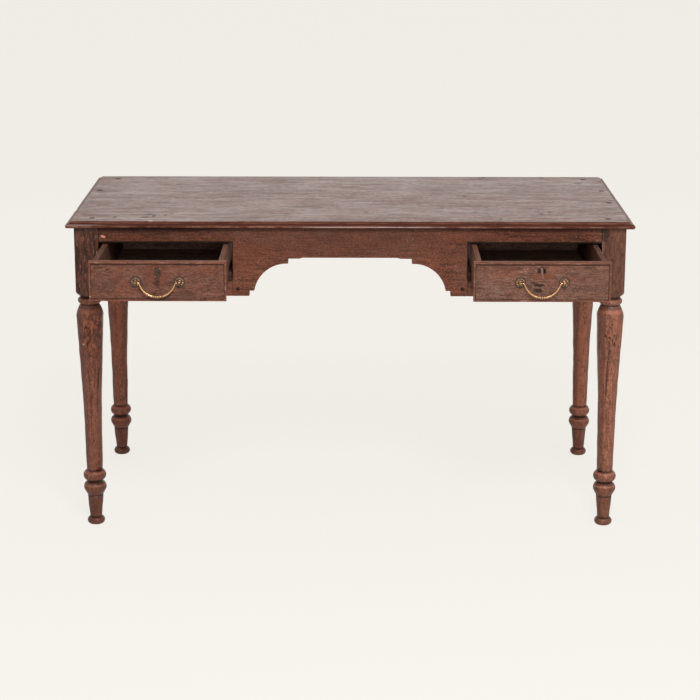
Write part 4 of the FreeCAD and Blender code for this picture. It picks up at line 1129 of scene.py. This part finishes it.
def keyhole_tongue(side):
    """A thin tapering tongue, from its round head down to a blunt tip."""
    bm = bmesh.new()
    left = []
    right = []
    for half, rise in TONGUE[side]:
        x = SIDES[side] * DRAWER_X - (RIGHT_SHIFT + RIGHT_LEAN * rise if side == "right" else 0)
        left.append(bm.verts.new((x - half, DRAWER_FACE, KEYHOLE_Z + rise)))
        right.append(bm.verts.new((x + half, DRAWER_FACE, KEYHOLE_Z + rise)))
    face = bm.faces.new([*left, *reversed(right)])
    grown = bmesh.ops.extrude_face_region(bm, geom=[face])["geom"]
    raised = [item for item in grown if isinstance(item, bmesh.types.BMVert)]
    bmesh.ops.translate(bm, vec=(0, -TONGUE_THICKNESS, 0), verts=raised)
    rim = [edge for edge in bm.edges if all(vert.co.y < DRAWER_FACE - 0.001 for vert in edge.verts)]
    eased(bm, rim, TONGUE_ROUNDING, 3)
    piece(f"{side}_keyhole_tongue", bm, f"{side}_drawer", "peg_wood", tongue_tone[side])


for side in SIDES:
    keyhole_tongue(side)


# Studio
PALE = (0.893, 0.862, 0.818)
PAPER_GLOW = (0.915, 0.884, 0.838)


def pale_floor():
    """A plain floor that shows evenly pale, and still takes soft shadows."""
    bm = bmesh.new()
    bmesh.ops.create_grid(bm, x_segments=1, y_segments=1, size=40)
    mesh = bpy.data.meshes.new("floor")
    bm.to_mesh(mesh)
    bm.free()
    floor = bpy.data.objects.new("floor", mesh)
    bpy.context.scene.collection.objects.link(floor)
    paper = Finish("pale_floor")
    paper.dress(Base_Color=(*PALE, 1), Roughness=0.9)
    glow = paper.add("ShaderNodeEmission")
    glow.inputs["Color"].default_value = (*PAPER_GLOW, 1)
    seen = paper.add("ShaderNodeLightPath")
    shown = paper.math("ADD", seen.outputs["Is Camera Ray"], seen.outputs["Is Glossy Ray"])
    shown = paper.math("ADD", shown, seen.outputs["Is Transmission Ray"])
    mixed = paper.add("ShaderNodeMixShader")
    paper.feed(mixed.inputs["Fac"], paper.math("MULTIPLY", shown, 0.88))
    paper.feed(mixed.inputs[1], paper.shader.outputs["BSDF"])
    paper.feed(mixed.inputs[2], glow.outputs["Emission"])
    paper.feed(paper.tree.nodes["Material Output"].inputs["Surface"], mixed.outputs["Shader"])
    mesh.materials.append(paper.material)


def soft_box(name, place, aim, size, power):
    """A rectangular lamp, turned towards a point."""
    light = bpy.data.lights.new(name, "AREA")
    light.shape = "RECTANGLE"
    light.size, light.size_y = size
    light.energy = power
    lamp = bpy.data.objects.new(name, light)
    lamp.location = place
    lamp.rotation_euler = (Vector(aim) - Vector(place)).to_track_quat("-Z", "Y").to_euler()
    bpy.context.scene.collection.objects.link(lamp)


def studio_sky():
    """Even light from all round, with a pale backdrop."""
    world = bpy.data.worlds.new("studio")
    world.use_nodes = True
    tree = world.node_tree
    seen = tree.nodes.new("ShaderNodeLightPath")
    ambient = tree.nodes["Background"]
    ambient.inputs["Color"].default_value = (1, 0.98, 0.95, 1)
    ambient.inputs["Strength"].default_value = 0.55
    pale = tree.nodes.new("ShaderNodeBackground")
    pale.inputs["Color"].default_value = (*PALE, 1)
    shown = seen.outputs["Is Camera Ray"]
    for kind in ("Is Glossy Ray", "Is Transmission Ray"):
        both_kinds = tree.nodes.new("ShaderNodeMath")
        both_kinds.operation = "ADD"
        tree.links.new(shown, both_kinds.inputs[0])
        tree.links.new(seen.outputs[kind], both_kinds.inputs[1])
        shown = both_kinds.outputs["Value"]
    mixed = tree.nodes.new("ShaderNodeMixShader")
    tree.links.new(shown, mixed.inputs["Fac"])
    tree.links.new(ambient.outputs["Background"], mixed.inputs[1])
    tree.links.new(pale.outputs["Background"], mixed.inputs[2])
    tree.links.new(mixed.outputs["Shader"], tree.nodes["World Output"].inputs["Surface"])
    bpy.context.scene.world = world


def camera():
    data = bpy.data.cameras.new("camera")
    data.sensor_width = SENSOR_WIDTH
    data.lens = SENSOR_WIDTH * FOCAL_PIXELS / PHOTO_PIXELS
    data.clip_end = 200
    viewer = bpy.data.objects.new("camera", data)
    turned = Matrix.Rotation(CAMERA_TURN, 4, "Z")
    tilted = Matrix.Rotation(math.pi / 2 - CAMERA_TILT, 4, "X")
    rolled = Matrix.Rotation(CAMERA_ROLL, 4, "Z")
    viewer.matrix_world = Matrix.Translation(CAMERA_PLACE) @ turned @ tilted @ rolled
    bpy.context.scene.collection.objects.link(viewer)
    bpy.context.scene.camera = viewer


pale_floor()
studio_sky()
soft_box("key", (0.5, -3.6, 3.6), (0, -0.3, 0.5), (1.2, 1.2), 135)
soft_box("front", (0.2, -5.2, 1.8), (0, 0, 0.5), (1.4, 1.4), 32)
soft_box("right", (3.0, -2.6, 2.0), (0, 0, 0.5), (1.8, 1.8), 16)
soft_box("left", (-3.0, -2.6, 2.0), (0, 0, 0.5), (1.8, 1.8), 9)
soft_box("back", (0, 4.2, 1.4), (0, 0, 0.76), (4.0, 1.0), 9)
camera()
bpy.context.scene.view_settings.view_transform = "Standard"
